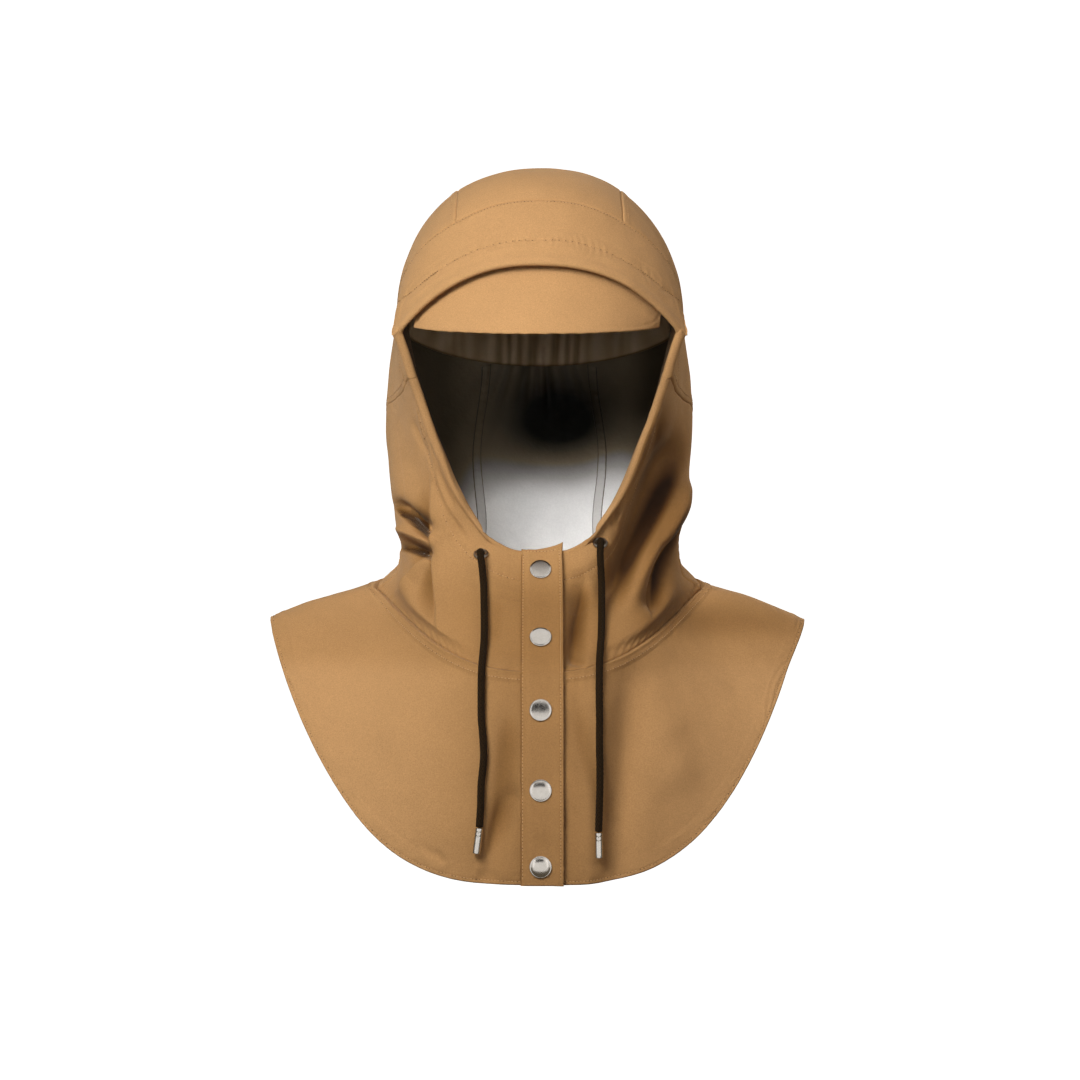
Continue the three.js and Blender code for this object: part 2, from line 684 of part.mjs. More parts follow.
// Gathered channel across the inside of the back
const CHANNEL_COLUMNS = 18;
const CHANNEL_ROWS = 3;
const CHANNEL_HALF_ANGLE = 62;

function channelLow(angle) {
  const side = (180 - angle) / CHANNEL_HALF_ANGLE;
  return CROWN_TOP - CHANNEL_DEPTH_BELOW_CROWN + CHANNEL_END_RISE * side * side;
}

function insideWall(angle, t, wall) {
  const normal = hoodNormal(angle, t);
  const point = hoodFace(angle, t).addScaledVector(normal, -CLOTH - INSIDE_GAP);
  return { point, normal, wall };
}

function crownChannel() {
  const us = stops([CHANNEL_COLUMNS]);
  const vs = stops([CHANNEL_ROWS]);
  return wallOver(CHANNEL_COLUMNS, CHANNEL_ROWS, (i, j) => {
    const angle = 180 + CHANNEL_HALF_ANGLE * (us[i] * 2 - 1);
    const t = tAtHeight(angle, channelLow(angle) + CHANNEL_WIDTH * vs[j]);
    return insideWall(angle, t, CHANNEL_WALL);
  });
}

// Tape over a centre seam, from the neck seam up to the channel
const TAPE_COLUMNS = 2;
const TAPE_ROWS = 10;
const TAPE_START = 0.015;
const TAPE_TOP = 0.4;
const TAPE_END_GAP = 2.9;

function seamTape(sign) {
  const us = stops([TAPE_COLUMNS]);
  const vs = stops([TAPE_ROWS]);
  const seamTop = centreSeam(TAPE_TOP);
  const end = tAtHeight(seamTop, channelLow(seamTop) - TAPE_END_GAP);
  return wallOver(TAPE_COLUMNS, TAPE_ROWS, (i, j) => {
    const t = mix(TAPE_START, end, vs[j]);
    const seam = centreSeam(t);
    const perDegree = bareHood(seam + 0.5, t).distanceTo(bareHood(seam - 0.5, t));
    return insideWall(sign * (seam + (us[i] - 0.5) * TAPE_WIDTH / perDegree), t, TAPE_WALL);
  });
}

// Snap cap: a shallow dome on a straight edge
const SNAP_SIDES = 18;

function snapCap() {
  const radius = SNAP_DIAMETER / 2;
  const profile = [
    [0, 0],
    [radius - SNAP_BEVEL, 0],
    [radius, SNAP_BEVEL],
    [radius, SNAP_EDGE],
    [radius * 0.93, SNAP_HEIGHT * 0.66],
    [radius * 0.6, SNAP_HEIGHT * 0.93],
    [0, SNAP_HEIGHT],
  ];
  return lathe(profile, SNAP_SIDES);
}

// Eyelet: a barrel through the hem with a rolled flange outside
const EYELET_BARREL = EYELET_HOLE + 2 * EYELET_WALL;
const EYELET_SIDES = 16;

function eyelet() {
  const hole = EYELET_HOLE / 2;
  const barrel = EYELET_BARREL / 2;
  const flange = EYELET_DIAMETER / 2;
  const depth = RIM_HEM + EYELET_SEAT;
  const profile = [
    [hole, -depth],
    [barrel, -depth],
    [barrel, 0],
    [flange, 0],
    [flange, EYELET_FLANGE * 0.5],
    [mix(hole, flange, 0.6), EYELET_FLANGE],
    [hole, EYELET_FLANGE * 0.7],
    [hole, -depth],
  ];
  return lathe(profile, EYELET_SIDES);
}

// Turns a profile of [radius, height] round its axis. A closed ring's last point is its first.
function lathe(profile, sides) {
  const geometry = new THREE.LatheGeometry(profile.map(([x, y]) => new THREE.Vector2(x, y)), sides);
  return pointingOut(merged(geometry));
}

// The same mesh with its shared corners merged and its flat triangles left out
function merged(geometry) {
  geometry.deleteAttribute('normal');
  geometry.deleteAttribute('uv');
  return mergeVertices(geometry, 1e-4);
}

function placed(mesh, point, normal, lift) {
  mesh.position.copy(point).addScaledVector(normal, lift);
  mesh.quaternion.setFromUnitVectors(new THREE.Vector3(0, 1, 0), normal);
  return mesh;
}

// Drawcord and tip
const CORD_SIDES = 8;
const CORD_STEPS = 48;
const TIP_SIDES = 12;

function drawcord(points) {
  const section = new THREE.Shape();
  const radius = CORD_DIAMETER / 2;
  for (let i = 0; i < CORD_SIDES; i += 1) {
    const angle = (i / CORD_SIDES) * 2 * Math.PI;
    const corner = [radius * Math.cos(angle), radius * Math.sin(angle)];
    if (i === 0) section.moveTo(...corner);
    else section.lineTo(...corner);
  }
  const path = new THREE.CatmullRomCurve3(points.map((p) => new THREE.Vector3(...p)));
  const geometry = new THREE.ExtrudeGeometry(section, {
    steps: CORD_STEPS,
    extrudePath: path,
    curveSegments: 1,
  });
  return pointingOut(merged(geometry));
}

// Metal tip in line with the end of its cord
function tipMesh(name, cordPoints, end) {
  const last = new THREE.Vector3(...cordPoints[cordPoints.length - 1]);
  const along = new THREE.Vector3(...end).sub(last).normalize();
  const radius = TIP_DIAMETER / 2;
  const geometry = merged(new THREE.CylinderGeometry(radius, radius, TIP_LENGTH, TIP_SIDES));
  const mesh = new THREE.Mesh(geometry, STEEL);
  mesh.name = name;
  return placed(mesh, last, along, SEAM_GAP + TIP_LENGTH / 2);
}

// The eyelet's place on the collar and its axis, tipped up from the cloth's normal
function eyeletSeat({ angle, t }) {
  const point = hoodFace(angle, t);
  const normal = hoodNormal(angle, t);
  const axis = normal.clone().applyAxisAngle(new THREE.Vector3(-1, 0, 0), EYELET_TILT * RAD);
  return { point, axis };
}

const wasm = await Module();
wasm.setup();

function solid(geometry) {
  const p = geometry.getAttribute('position');
  return new wasm.Manifold(new wasm.Mesh({
    numProp: 3,
    vertProperties: new Float32Array(p.array),
    triVerts: new Uint32Array(geometry.getIndex().array),
  }));
}

function geometryOf(body) {
  const mesh = body.getMesh();
  const geometry = new THREE.BufferGeometry();
  geometry.setAttribute('position', new THREE.BufferAttribute(new Float32Array(mesh.vertProperties), 3));
  geometry.setIndex([...mesh.triVerts]);
  geometry.computeVertexNormals();
  return geometry;
}

// A round cutter on an axis, from start to end measured from a point
function bore(point, axis, radius, start, end) {
  const cylinder = new THREE.CylinderGeometry(radius, radius, end - start, EYELET_SIDES);
  cylinder.translate(0, (start + end) / 2, 0);
  const holder = placed(new THREE.Object3D(), point, axis, 0);
  holder.updateMatrix();
  return solid(pointingOut(merged(cylinder.applyMatrix4(holder.matrix))));
}

// The collar with its eyelet's hole, and cloth above the flange cut away
function boredCollar(geometry, { point, axis }) {
  const reach = 3 * RIM_HEM;
  const barrel = EYELET_BARREL / 2 + SEAM_GAP;
  const flange = EYELET_DIAMETER / 2 + SEAM_GAP;
  const through = bore(point, axis, barrel, -reach, reach);
  const recess = bore(point, axis, flange, EYELET_SEAT - SEAM_GAP, reach);
  return geometryOf(solid(geometry).subtract(through).subtract(recess));
}

const detachableHood = new THREE.Group();

function add(name, geometry, material) {
  const mesh = new THREE.Mesh(geometry, material);
  mesh.name = name;
  detachableHood.add(mesh);
  return mesh;
}

add('brim_band', brimBand(), TAN);
add('centre_panel', centrePanel(), TAN);
add('cape', cape(), TAN);
add('placket', placket(), TAN);
add('under_placket', underPlacket(), DARK_TAN);
add('peak', peak(), TAN);
add('crown_channel', crownChannel(), LINING);

for (const [side, sign] of [['left', 1], ['right', -1]]) {
  const seat = eyeletSeat(EYELETS[side]);
  add(`collar_${side}`, boredCollar(collar(sign), seat), TAN);
  add(`side_panel_${side}`, sidePanel(sign), TAN);
  add(`seam_tape_${side}`, seamTape(sign), LINING);
  placed(add(`eyelet_${side}`, eyelet(), DARK_STEEL), seat.point, seat.axis, EYELET_SEAT);
  add(`drawcord_${side}`, drawcord(CORDS[side]), BROWN_CORD);
  detachableHood.add(tipMesh(`cord_tip_${side}`, CORDS[side], TIP_ENDS[side]));
}

SNAPS.forEach((share, k) => {
  const { point, normal } = frontPlace(SNAP_SHIFT, share, LAYER_GAP + PLACKET_WALL);
  placed(add(`snap_cap_${k + 1}`, snapCap(), STEEL), point, normal, SNAP_SEAT);
});

export default detachableHood;
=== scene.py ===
"""A detachable cloth hood with a shoulder cape, a snap placket, a sewn-in peak and a face drawcord."""

import math

import bmesh
import bpy
import numpy as np
from bpy.props import FloatProperty, FloatVectorProperty, PointerProperty
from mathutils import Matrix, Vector


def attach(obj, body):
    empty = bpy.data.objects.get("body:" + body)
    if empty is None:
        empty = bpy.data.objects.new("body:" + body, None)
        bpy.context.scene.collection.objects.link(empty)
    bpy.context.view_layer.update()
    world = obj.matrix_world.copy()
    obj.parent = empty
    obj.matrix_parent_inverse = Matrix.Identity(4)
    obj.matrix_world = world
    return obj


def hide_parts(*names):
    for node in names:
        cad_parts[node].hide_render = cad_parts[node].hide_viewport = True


bl_info = {
    "name": "Detachable hood",
    "version": (1, 0, 0),
    "blender": (4, 5, 0),
    "location": "3D View > Sidebar > Hood",
    "description": "Builds a cloth hood with a shoulder cape, snaps and drawcords",
    "category": "Add Mesh",
}

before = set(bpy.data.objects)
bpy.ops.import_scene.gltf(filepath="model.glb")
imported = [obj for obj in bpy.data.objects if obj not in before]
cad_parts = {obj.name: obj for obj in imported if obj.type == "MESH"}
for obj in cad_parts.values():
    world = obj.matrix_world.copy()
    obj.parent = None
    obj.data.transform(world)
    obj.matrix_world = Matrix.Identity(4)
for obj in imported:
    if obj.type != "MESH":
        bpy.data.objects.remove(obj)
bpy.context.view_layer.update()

# All shapes are worked out in millimetres and put into their meshes in metres
MM = 0.001

# Hood sections, lengths as shares of the hood's depth, height and width: place t, front y, front z,
# back y, back z, width, seat of the widest point, two powers of the front half, two of the back
# half, and bow. The first and last widths are set from the neck and face widths.
SECTIONS = np.array([
    (0.00, -0.459, 1.000, 0.385, 0.816, 1.046, 0.61, 2.80, 1.28, 2.00, 0.50, -0.067),
    (0.12, -0.426, 0.975, 0.415, 0.715, 0.916, 0.53, 2.15, 0.55, 2.00, 0.50, -0.044),
    (0.28, -0.387, 0.938, 0.481, 0.544, 0.901, 0.52, 2.00, 0.50, 2.00, 0.50, 0.000),
    (0.42, -0.350, 0.902, 0.511, 0.364, 0.962, 0.54, 2.00, 0.50, 2.00, 0.50, 0.030),
    (0.56, -0.313, 0.869, 0.437, 0.152, 1.000, 0.57, 2.00, 0.50, 2.00, 0.50, 0.052),
    (0.70, -0.276, 0.833, 0.230, 0.034, 0.947, 0.61, 2.06, 0.55, 2.28, 0.50, 0.059),
    (0.82, -0.246, 0.804, -0.037, 0.001, 0.916, 0.65, 2.17, 0.65, 2.38, 0.53, 0.059),
    (0.92, -0.223, 0.782, -0.311, 0.056, 0.878, 0.70, 2.33, 0.80, 2.28, 0.70, 0.067),
    (1.00, -0.212, 0.771, -0.485, 0.220, 0.908, 0.734, 2.89, 1.20, 2.45, 1.05, 0.074),
])

# Seam lines, angle in degrees from the front centre: by t, and by angle
SIDE_SEAM = np.array([(0, 80), (0.1, 86), (0.3, 93), (0.5, 94), (0.68, 78), (0.8, 69), (1, 64)], float)
CENTRE_SEAM = np.array([
    (0, 155), (0.12, 155), (0.28, 152), (0.42, 158), (0.56, 156), (0.8, 146), (0.937, 143.5),
])
BAND_SEAM = np.array([
    (80, 0.82), (90, 0.865), (106, 0.907), (122, 0.924), (143.5, 0.937), (180, 0.94),
])
HEM_LINE = np.array([
    (0, 0.715), (18, 0.70), (32, 0.705), (42, 0.756), (48, 0.826), (66, 0.90), (100, 0.95),
    (130, 0.974), (180, 0.978),
])
BAND_MEETS_SIDE = 0.77

# Broad folds, seen from the front: x and z of both ends as shares of half the hood's width and of
# its height, spread and depth as shares of its width
FOLDS = (
    (0.85, 0.595, 0.48, 0.830, 0.055, -0.038),
    (0.94, 0.650, 0.58, 0.845, 0.042, 0.026),
    (0.79, 0.775, 0.70, 0.865, 0.030, -0.026),
    (-0.90, 0.685, -0.70, 0.722, 0.022, -0.020),
    (-0.86, 0.722, -0.70, 0.750, 0.020, 0.014),
    (-0.85, 0.755, -0.70, 0.772, 0.020, -0.022),
    (0.28, 0.825, 0.20, 0.965, 0.024, -0.014),
    (0.58, 1.035, 0.48, 1.380, 0.060, -0.022),
    (0.38, 1.060, 0.34, 1.380, 0.055, 0.012),
    (-0.17, 1.240, -0.31, 1.390, 0.030, -0.012),
)

# Creases, seen from the front: x and z in millimetres, depth outwards, and how far the crease
# spreads to the left and to the right of its line as one walks along it
CREASES = (
    (((-92, -250), (-92, -289), (-91, -321), (-89, -340), (-85, -392)), -5.5, 1.0, 13.0),
    (((-90, -250), (-89, -289), (-89, -321), (-87, -338), (-82, -385)), 2.2, 16.0, 1.2),
    (((82, -188), (96, -210), (101, -232)), -1.2, 3.0, 2.0),
    (((-90, -250), (-82, -273), (-77, -284), (-71, -293), (-63, -304), (-55, -317)), -2.4, 1.3, 4.5),
    (((-84, -250), (-77, -269), (-71, -281), (-67, -288)), -2.0, 1.6, 3.0),
    (((-107, -206), (-98, -226), (-91, -243)), -1.8, 1.8, 3.2),
    (((-104, -192), (-97, -214), (-91, -232)), 1.0, 2.0, 2.0),
    (((128, -196), (119, -232), (102, -274), (87, -303), (73, -330), (60, -358), (50, -384)),
     -12.0, 11.0, 15.0),
    (((130, -232), (124, -260), (113, -286), (99, -310), (86, -330), (72, -362)), 6.0, 6.0, 8.0),
    (((127, -268), (120, -292), (109, -311), (99, -326), (94, -338), (93, -356), (92, -380)),
     -10.0, 9.0, 1.3),
    (((66, -282), (60, -303)), -2.4, 3.0, 2.2),
    (((72, -276), (66, -298)), 1.8, 2.4, 2.4),
    (((103, -190), (100, -214), (94, -238), (83, -262), (72, -282)), -3.4, 6.0, 1.2),
    (((26, -334), (30, -372), (24, -424)), -4.6, 11.0, 7.0),
    (((38, -340), (31, -372), (24, -404)), -2.6, 6.0, 2.4),
    (((22, -402), (30, -407), (40, -409)), -1.6, 2.5, 3.0),
    (((-33, -348), (-36, -380), (-38, -404)), -2.2, 9.0, 8.0),
    (((-24, -430), (-28, -480), (-34, -530), (-44, -572)), -4.2, 14.0, 8.0),
    (((-30, -508), (-36, -530), (-46, -574)), -2.4, 5.0, 2.0),
    (((-84, -556), (-76, -570)), -1.6, 3.0, 2.0),
    (((-92, -552), (-85, -566)), -1.3, 3.0, 2.0),
    (((30, -420), (36, -470), (52, -520), (70, -560)), -3.0, 12.0, 9.0),
    (((96, -440), (112, -480), (118, -520)), 2.6, 16.0, 16.0),
    (((-150, -400), (-118, -450), (-96, -520)), 2.0, 20.0, 20.0),
)

# Folds that run in under the upright pleat on the wearer's right and end there
PLEAT = np.array([(-392, -85), (-340, -89), (-321, -91), (-289, -92), (-250, -92)], float)
PLEAT_FOLDS = (
    (((-130, -274), (-117, -287), (-104, -297), (-86, -310)), -11.5, 7.5, 1.3),
    (((-124, -296), (-106, -305), (-84, -316)), 4.5, 2.0, 6.0),
    (((-126, -316), (-112, -318), (-101, -321), (-82, -327)), -10.5, 4.5, 1.3),
    (((-122, -356), (-110, -343), (-100, -330), (-82, -317)), 6.0, 1.3, 9.0),
)

# Drawcord routes, the eyelets' places on the hood, and the snaps' shares of the placket's length
CORDS = {
    "left": (
        (49.8, -59.0, -313.8), (50.2, -64.4, -310.9), (50.1, -69.4, -313.8), (49.8, -71.4, -322.0),
        (50.8, -75.4, -345.8), (50.6, -88.7, -366.2), (50.0, -102.6, -386.4), (48.4, -118.2, -406.0),
        (47.9, -127.4, -426.7), (48.0, -134.8, -452.7), (47.9, -138.4, -471.2), (48.2, -142.1, -499.3),
        (47.7, -144.1, -521.4), (47.0, -145.2, -541.9),
    ),
    "right": (
        (-47.6, -62.2, -323.0), (-48.2, -67.4, -319.6), (-48.0, -72.2, -322.4), (-46.9, -74.6, -330.6),
        (-45.4, -79.4, -346.0), (-44.6, -93.3, -371.4), (-44.5, -107.2, -391.1), (-46.0, -121.9, -411.0),
        (-46.4, -126.4, -426.5), (-46.2, -132.4, -452.7), (-45.0, -135.4, -466.0), (-44.3, -138.5, -482.7),
        (-46.2, -140.8, -505.0), (-46.6, -142.4, -521.0), (-47.6, -143.1, -538.5),
    ),
}
TIP_ENDS = {"left": (47.2, -145.4, -562.3), "right": (-50.1, -143.0, -559.0)}
EYELETS = {"left": (24.5, 0.81), "right": (-23.0, 0.755)}
SIDES = {"left": 1, "right": -1}
EYELET_TILT = 16.0
EYELET_LEAN = 0.34
SNAPS = (0.071, 0.299, 0.516, 0.736, 0.946)
SNAP_RISES = (0.08, 0.14, 0.6, 1.2, 1.8)
SNAP_SHIFT = 1.0
SNAP_SEAT = 0.5

# Clearances between layers, and the cape's drops and reaches past the neck seam
LAYER_GAP = 0.9
CAPE_FRONT = (-18.0, -170.0)
CAPE_BACK = (40.0, -205.0)
CAPE_SIDE = (8.0, -26.5)
CAPE_SWELL = (7.0, 5.0)
FRONT_SLIT = 8.0
PLACKET_SHIFT = 2.2
UNDER_PLACKET_WALL = 2.2
RIM_ROLL = 4.6
RIM_END = 112.0

# Peak, and the trims inside: half the peak's and the channel's spans are in degrees
PEAK_HALF, PEAK_REACH, PEAK_DROP, PEAK_TIP, PEAK_WALL = 60.0, 30.0, 68.0, 17.0, 2.0
PEAK_WIDTH = 190
CHANNEL_HALF, CHANNEL_WIDTH, CHANNEL_DEPTH, CHANNEL_RISE = 62, 40, 158, 22
TAPE_WIDTH = 9

# How far each row of stitches lies from its seam or edge, and the steps in which lines are walked
SIDE_ROW, CENTRE_ROW, BAND_ROW = 6.2, 5.2, 2.0
CAPE_NECK_ROW, CAPE_HEM_ROW = 7.6, 3.2
PLACKET_LEFT_ROW, PLACKET_RIGHT_ROW, PLACKET_TOP_ROW = 1.6, 2.4, 2.6
CREASE_STEPS, FRONT_STEPS = 12, 60

# Camera: metres, and pixels of the square picture
PICTURE = 1080
PICTURE_MIDDLE = 539.3
FOCAL_LENGTH = 3095
SENSOR = 36
CAMERA_PLACE = (0, -2.6, -0.310)

# Lights in metres and watts: place, aim, extent, power, colour, and the rays that don't see it. The
# snoot has no extent: it is a narrow spot that reaches the lining through the face opening.
WARM, WHITE = (1.0, 0.84, 0.64), (1.0, 1.0, 1.0)
SOFT, MIRROR = ("camera", "glossy"), ("camera", "diffuse")
LIGHTS = {
    "key": ((-0.66, -1.36, 0.47), (0.0, -0.05, -0.27), (0.75, 0.75), 34, WHITE, SOFT),
    "fill": ((1.5, -1.9, -0.25), (0.0, 0.0, -0.32), (1.0, 1.4), 1.8, WARM, SOFT),
    "high_fill": ((1.2, -1.2, 1.0), (0.0, 0.0, -0.2), (0.9, 0.9), 7.2, WARM, SOFT),
    "low": ((0.1, -2.4, -0.25), (0.0, 0.0, -0.30), (0.5, 0.4), 3.4, WHITE, SOFT),
    "snoot": ((-0.08, -1.5, 0.36), (0.0, 0.09, -0.31), None, 24, WHITE, ("glossy",)),
    "front_mirror": ((0.0, -3.2, 0.0), (0.0, 0.0, 0.0), (6.0, 5.0), 70, WHITE, MIRROR),
    "top_mirror": ((0.0, -0.78, 2.0), (0.0, -0.79, -1.0), (3.5, 3.4), 26, WHITE, MIRROR),
    "left_mirror": ((3.0, -2.4, 0.5), (0.0, 0.0, -0.4), (2.5, 3.5), 14, WHITE, MIRROR),
    "right_mirror": ((-3.0, -2.4, 0.5), (0.0, 0.0, -0.4), (2.5, 3.5), 14, WHITE, MIRROR),
    "back_left": ((1.4, 1.9, 0.5), (0.0, 0.1, -0.3), (1.2, 1.2), 32, WHITE, SOFT),
    "back_right": ((-1.6, 1.8, 0.0), (0.0, 0.1, -0.3), (1.2, 1.2), 10, WHITE, SOFT),
}
SNOOT_ANGLE, SNOOT_RADIUS = 6.0, 0.06
ROOM_COLOUR, ROOM_STRENGTH = (1.0, 0.82, 0.58, 1), 0.10


class HoodSizes(bpy.types.PropertyGroup):
    """The sizes a maker would change"""

    height: FloatProperty(name="Hood height", description="Crown to front neck seam",
                          default=0.416, unit="LENGTH")
    depth: FloatProperty(name="Hood depth", description="Scale of the hood from front to back",
                         default=0.270, unit="LENGTH")
    width: FloatProperty(name="Hood width", description="Width over the cheeks",
                         default=0.262, unit="LENGTH")
    neck_width: FloatProperty(name="Neck width", description="Width at the neck seam",
                              default=0.274, unit="LENGTH")
    face_width: FloatProperty(name="Face width", description="Width of the rim",
                              default=0.238, unit="LENGTH")
    cape_width: FloatProperty(name="Cape width", description="Width over the shoulders",
                              default=0.448, unit="LENGTH")
    cloth: FloatProperty(name="Cloth", description="Thickness of the lined cloth",
                         default=0.0014, unit="LENGTH")
    rim_hem: FloatProperty(name="Rim hem", description="Thickness of the rim with its cord tunnel",
                           default=0.0036, unit="LENGTH")
    cape_hem: FloatProperty(name="Cape hem", description="Thickness of the cape's hem",
                            default=0.0026, unit="LENGTH")
    placket_width: FloatProperty(name="Placket width", description="Width of the front placket",
                                 default=0.034, unit="LENGTH")
    placket_wall: FloatProperty(name="Placket wall", description="Thickness of the front placket",
                                default=0.0028, unit="LENGTH")
    snap: FloatProperty(name="Snap", description="Diameter of a snap cap", default=0.0178, unit="LENGTH")
    cord: FloatProperty(name="Cord", description="Diameter of the drawcord", default=0.006, unit="LENGTH")
    tip: FloatProperty(name="Tip", description="Diameter of a cord tip", default=0.0064, unit="LENGTH")
    stitch: FloatProperty(name="Stitch", description="Length of one stitch", default=0.0028, unit="LENGTH")
    thread: FloatProperty(name="Thread", description="Thickness of the thread",
                          default=0.0005, unit="LENGTH")


class HoodColours(bpy.types.PropertyGroup):
    """The colours a maker would change"""

    cloth: FloatVectorProperty(name="Cloth", description="Outer cloth", size=3, subtype="COLOR",
                               default=(0.420, 0.235, 0.098))
    lining: FloatVectorProperty(name="Lining", description="Coated lining", size=3, subtype="COLOR",
                                default=(0.87, 0.86, 0.845))
    channel: FloatVectorProperty(name="Channel", description="Gathered channel across the back", size=3,
                                 subtype="COLOR", default=(0.62, 0.49, 0.35))
    tape: FloatVectorProperty(name="Seam tape", description="Tape over the inside seams", size=3,
                              subtype="COLOR", default=(0.62, 0.60, 0.58))
    thread: FloatVectorProperty(name="Thread", description="Seam thread", size=3, subtype="COLOR",
                                default=(0.46, 0.27, 0.12))
    # The needle hole colour is painted shade inside the holes between stitches
    hole: FloatVectorProperty(name="Needle hole", description="Pierced cloth between stitches", size=3,
                              subtype="COLOR", default=(0.075, 0.035, 0.010))
    cord: FloatVectorProperty(name="Cord", description="Braided drawcord", size=3, subtype="COLOR",
                              default=(0.013, 0.007, 0.0025))
    metal: FloatVectorProperty(name="Metal", description="Snaps and cord tips", size=3, subtype="COLOR",
                               default=(0.72, 0.68, 0.63))
    dark_metal: FloatVectorProperty(name="Dark metal", description="Eyelets", size=3, subtype="COLOR",
                                    default=(0.40, 0.37, 0.34))
    floor: FloatVectorProperty(name="Floor", description="Floor and backdrop", size=3,
                               subtype="COLOR", default=(0.93, 0.93, 0.93))


def size(name):
    """A size of the scene in millimetres"""
    return getattr(bpy.context.scene.hood_sizes, name) / MM


def colour(name):
    """A colour of the scene with its alpha"""
    return (*getattr(bpy.context.scene.hood_colours, name), 1.0)


def mix(a, b, share):
    """a at share 0, b at share 1, and a straight blend between"""
    return a + (b - a) * share


def unit(v):
    """Vectors of length one, over the last axis"""
    return v / np.maximum(np.linalg.norm(v, axis=-1, keepdims=True), 1e-12)


def step(x):
    """0 below 0, 1 above 1, and 3x^2 - 2x^3 between"""
    x = np.clip(x, 0, 1)
    return x * x * (3 - 2 * x)


def hump(x, width):
    """A bell: exp(-(x / width)^2)"""
    return np.exp(-((x / width) ** 2))


def graded(count, low=1.0, high=1.0):
    """Shares from 0 to 1, a cubic whose spacing at its two ends is low and high times the mean"""
    x = np.linspace(0, 1, count + 1)
    return (x**3 - 2 * x**2 + x) * low + (3 * x**2 - 2 * x**3) + (x**3 - x**2) * high


def chain(*parts):
    """Rows of shares from 0 to 1 set end to end: 0 to 1, 1 to 2, and so on"""
    return np.concatenate([parts[0]] + [k + part[1:] for k, part in enumerate(parts) if k])


def curve(table, x):
    """A cubic through the rows of a table. Its first column is the place, and the slope at a row is
    that between its two neighbours. The other columns come back on the last axis."""
    keys, values = table[:, 0], table[:, 1:]
    x = np.asarray(x, float)
    slope = np.empty_like(values)
    slope[1:-1] = (values[2:] - values[:-2]) / (keys[2:] - keys[:-2])[:, None]
    slope[0] = (values[1] - values[0]) / (keys[1] - keys[0])
    slope[-1] = (values[-1] - values[-2]) / (keys[-1] - keys[-2])
    i = np.clip(np.searchsorted(keys, x, side="left") - 1, 0, len(keys) - 2)
    span = (keys[i + 1] - keys[i])[..., None]
    u = (x - keys[i])[..., None] / span
    v = 1 - u
    out = (1 + 2 * u) * v * v * values[i] + u * v * v * span * slope[i]
    out += u * u * (3 - 2 * u) * values[i + 1] - u * u * v * span * slope[i + 1]
    return out[..., 0] if values.shape[1] == 1 else out


def ripple(point, wavelength, seed, count=7):
    """Soft unevenness from -1 to 1: the mean of sine waves in drawn directions, each bent by
    a longer wave"""
    draw = np.random.default_rng(seed)
    total = 0.0
    for _ in range(count):
        along, across = unit(draw.normal(size=(2, 3)))
        length = wavelength * draw.uniform(0.7, 1.4)
        start, shift = draw.uniform(0, 2 * np.pi, 2)
        bend = 1.4 * np.sin(point @ across * (2 * np.pi / (1.9 * length)) + shift)
        total = total + np.sin(point @ along * (2 * np.pi / length) + start + bend)
    return total / count


def bare_hood(a, t):
    """The hood without folds. A loop at t lies on a chord from its front to its back. The share
    along the chord is a power of 1 - |sin a|^m, x is half the width times sin a, and the loop bows
    off its chord by bow times sin^2 a."""
    rows = SECTIONS.copy()
    width = size("width")
    rows[0, 5] = size("neck_width") / width
    rows[-1, 5] = size("face_width") / width
    a, t = np.broadcast_arrays(np.asarray(a, float), np.asarray(t, float))
    fy, fz, by, bz, wide, seat, fm, fn, bm, bn, bow = np.moveaxis(curve(rows, t), -1, 0)
    depth, height = size("depth"), size("height")
    front_y, front_z = fy * depth, size("cloth") - fz * height
    along_y, along_z = by * depth - front_y, size("cloth") - bz * height - front_z
    chord = np.hypot(along_y, along_z)
    sine = np.sin(np.radians(a))
    s = np.abs(sine)
    turned = np.abs((a + 540) % 360 - 180) > 90
    power, root = np.where(turned, bm, fm), np.where(turned, bn, fn)
    rest = np.maximum(0, 1 - s**power) ** root
    share = np.where(turned, seat + (1 - seat) * rest, seat * (1 - rest))
    out = bow * depth * s * s
    return np.stack([
        wide * width / 2 * sine,
        front_y + along_y * share + along_z / chord * out,
        front_z + along_z * share - along_y / chord * out,
    ], -1)


def bare_cape(a, s):
    """The cape without folds: a straight line from the neck seam (s = 0) to the hem (s = 1), swollen
    by 4s(1 - s). The hem is wide by sin a, deep by |cos a|, and falls by |sin a|^(10/3)."""
    a, s = np.broadcast_arrays(np.asarray(a, float), np.asarray(s, float))
    sine, cosine = np.sin(np.radians(a)), np.cos(np.radians(a))
    front, side, back = (bare_hood(k, 0.0) for k in (0.0, 90.0, 180.0))
    end_y = np.where(cosine > 0, front[1] + CAPE_FRONT[0], back[1] + CAPE_BACK[0])
    end_z = np.where(cosine > 0, front[2] + CAPE_FRONT[1], back[2] + CAPE_BACK[1])
    hem = np.stack([
        size("cape_width") / 2 * sine,
        mix(CAPE_SIDE[0], end_y, np.abs(cosine)),
        mix(end_z, side[2] + CAPE_SIDE[1], np.abs(sine) ** (10 / 3)),
    ], -1)
    neck = bare_hood(a, np.zeros_like(a))
    point = mix(neck, hem, s[..., None])
    swell = 4 * s * (1 - s)
    point[..., 1] -= swell * CAPE_SWELL[0] * cosine
    point[..., 2] += swell * CAPE_SWELL[1] * sine**2
    return point


def metric(face, u, v):
    """Millimetres per degree of u, per unit of v, and the unit normal, by central differences"""
    du, dv = 0.6, 0.004
    across = (face(u + du, v) - face(u - du, v)) / (2 * du)
    along = (face(u, v + dv) - face(u, v - dv)) / (2 * dv)
    lengths = [np.linalg.norm(d, axis=-1) for d in (across, along)]
    return *lengths, unit(np.cross(across, along))


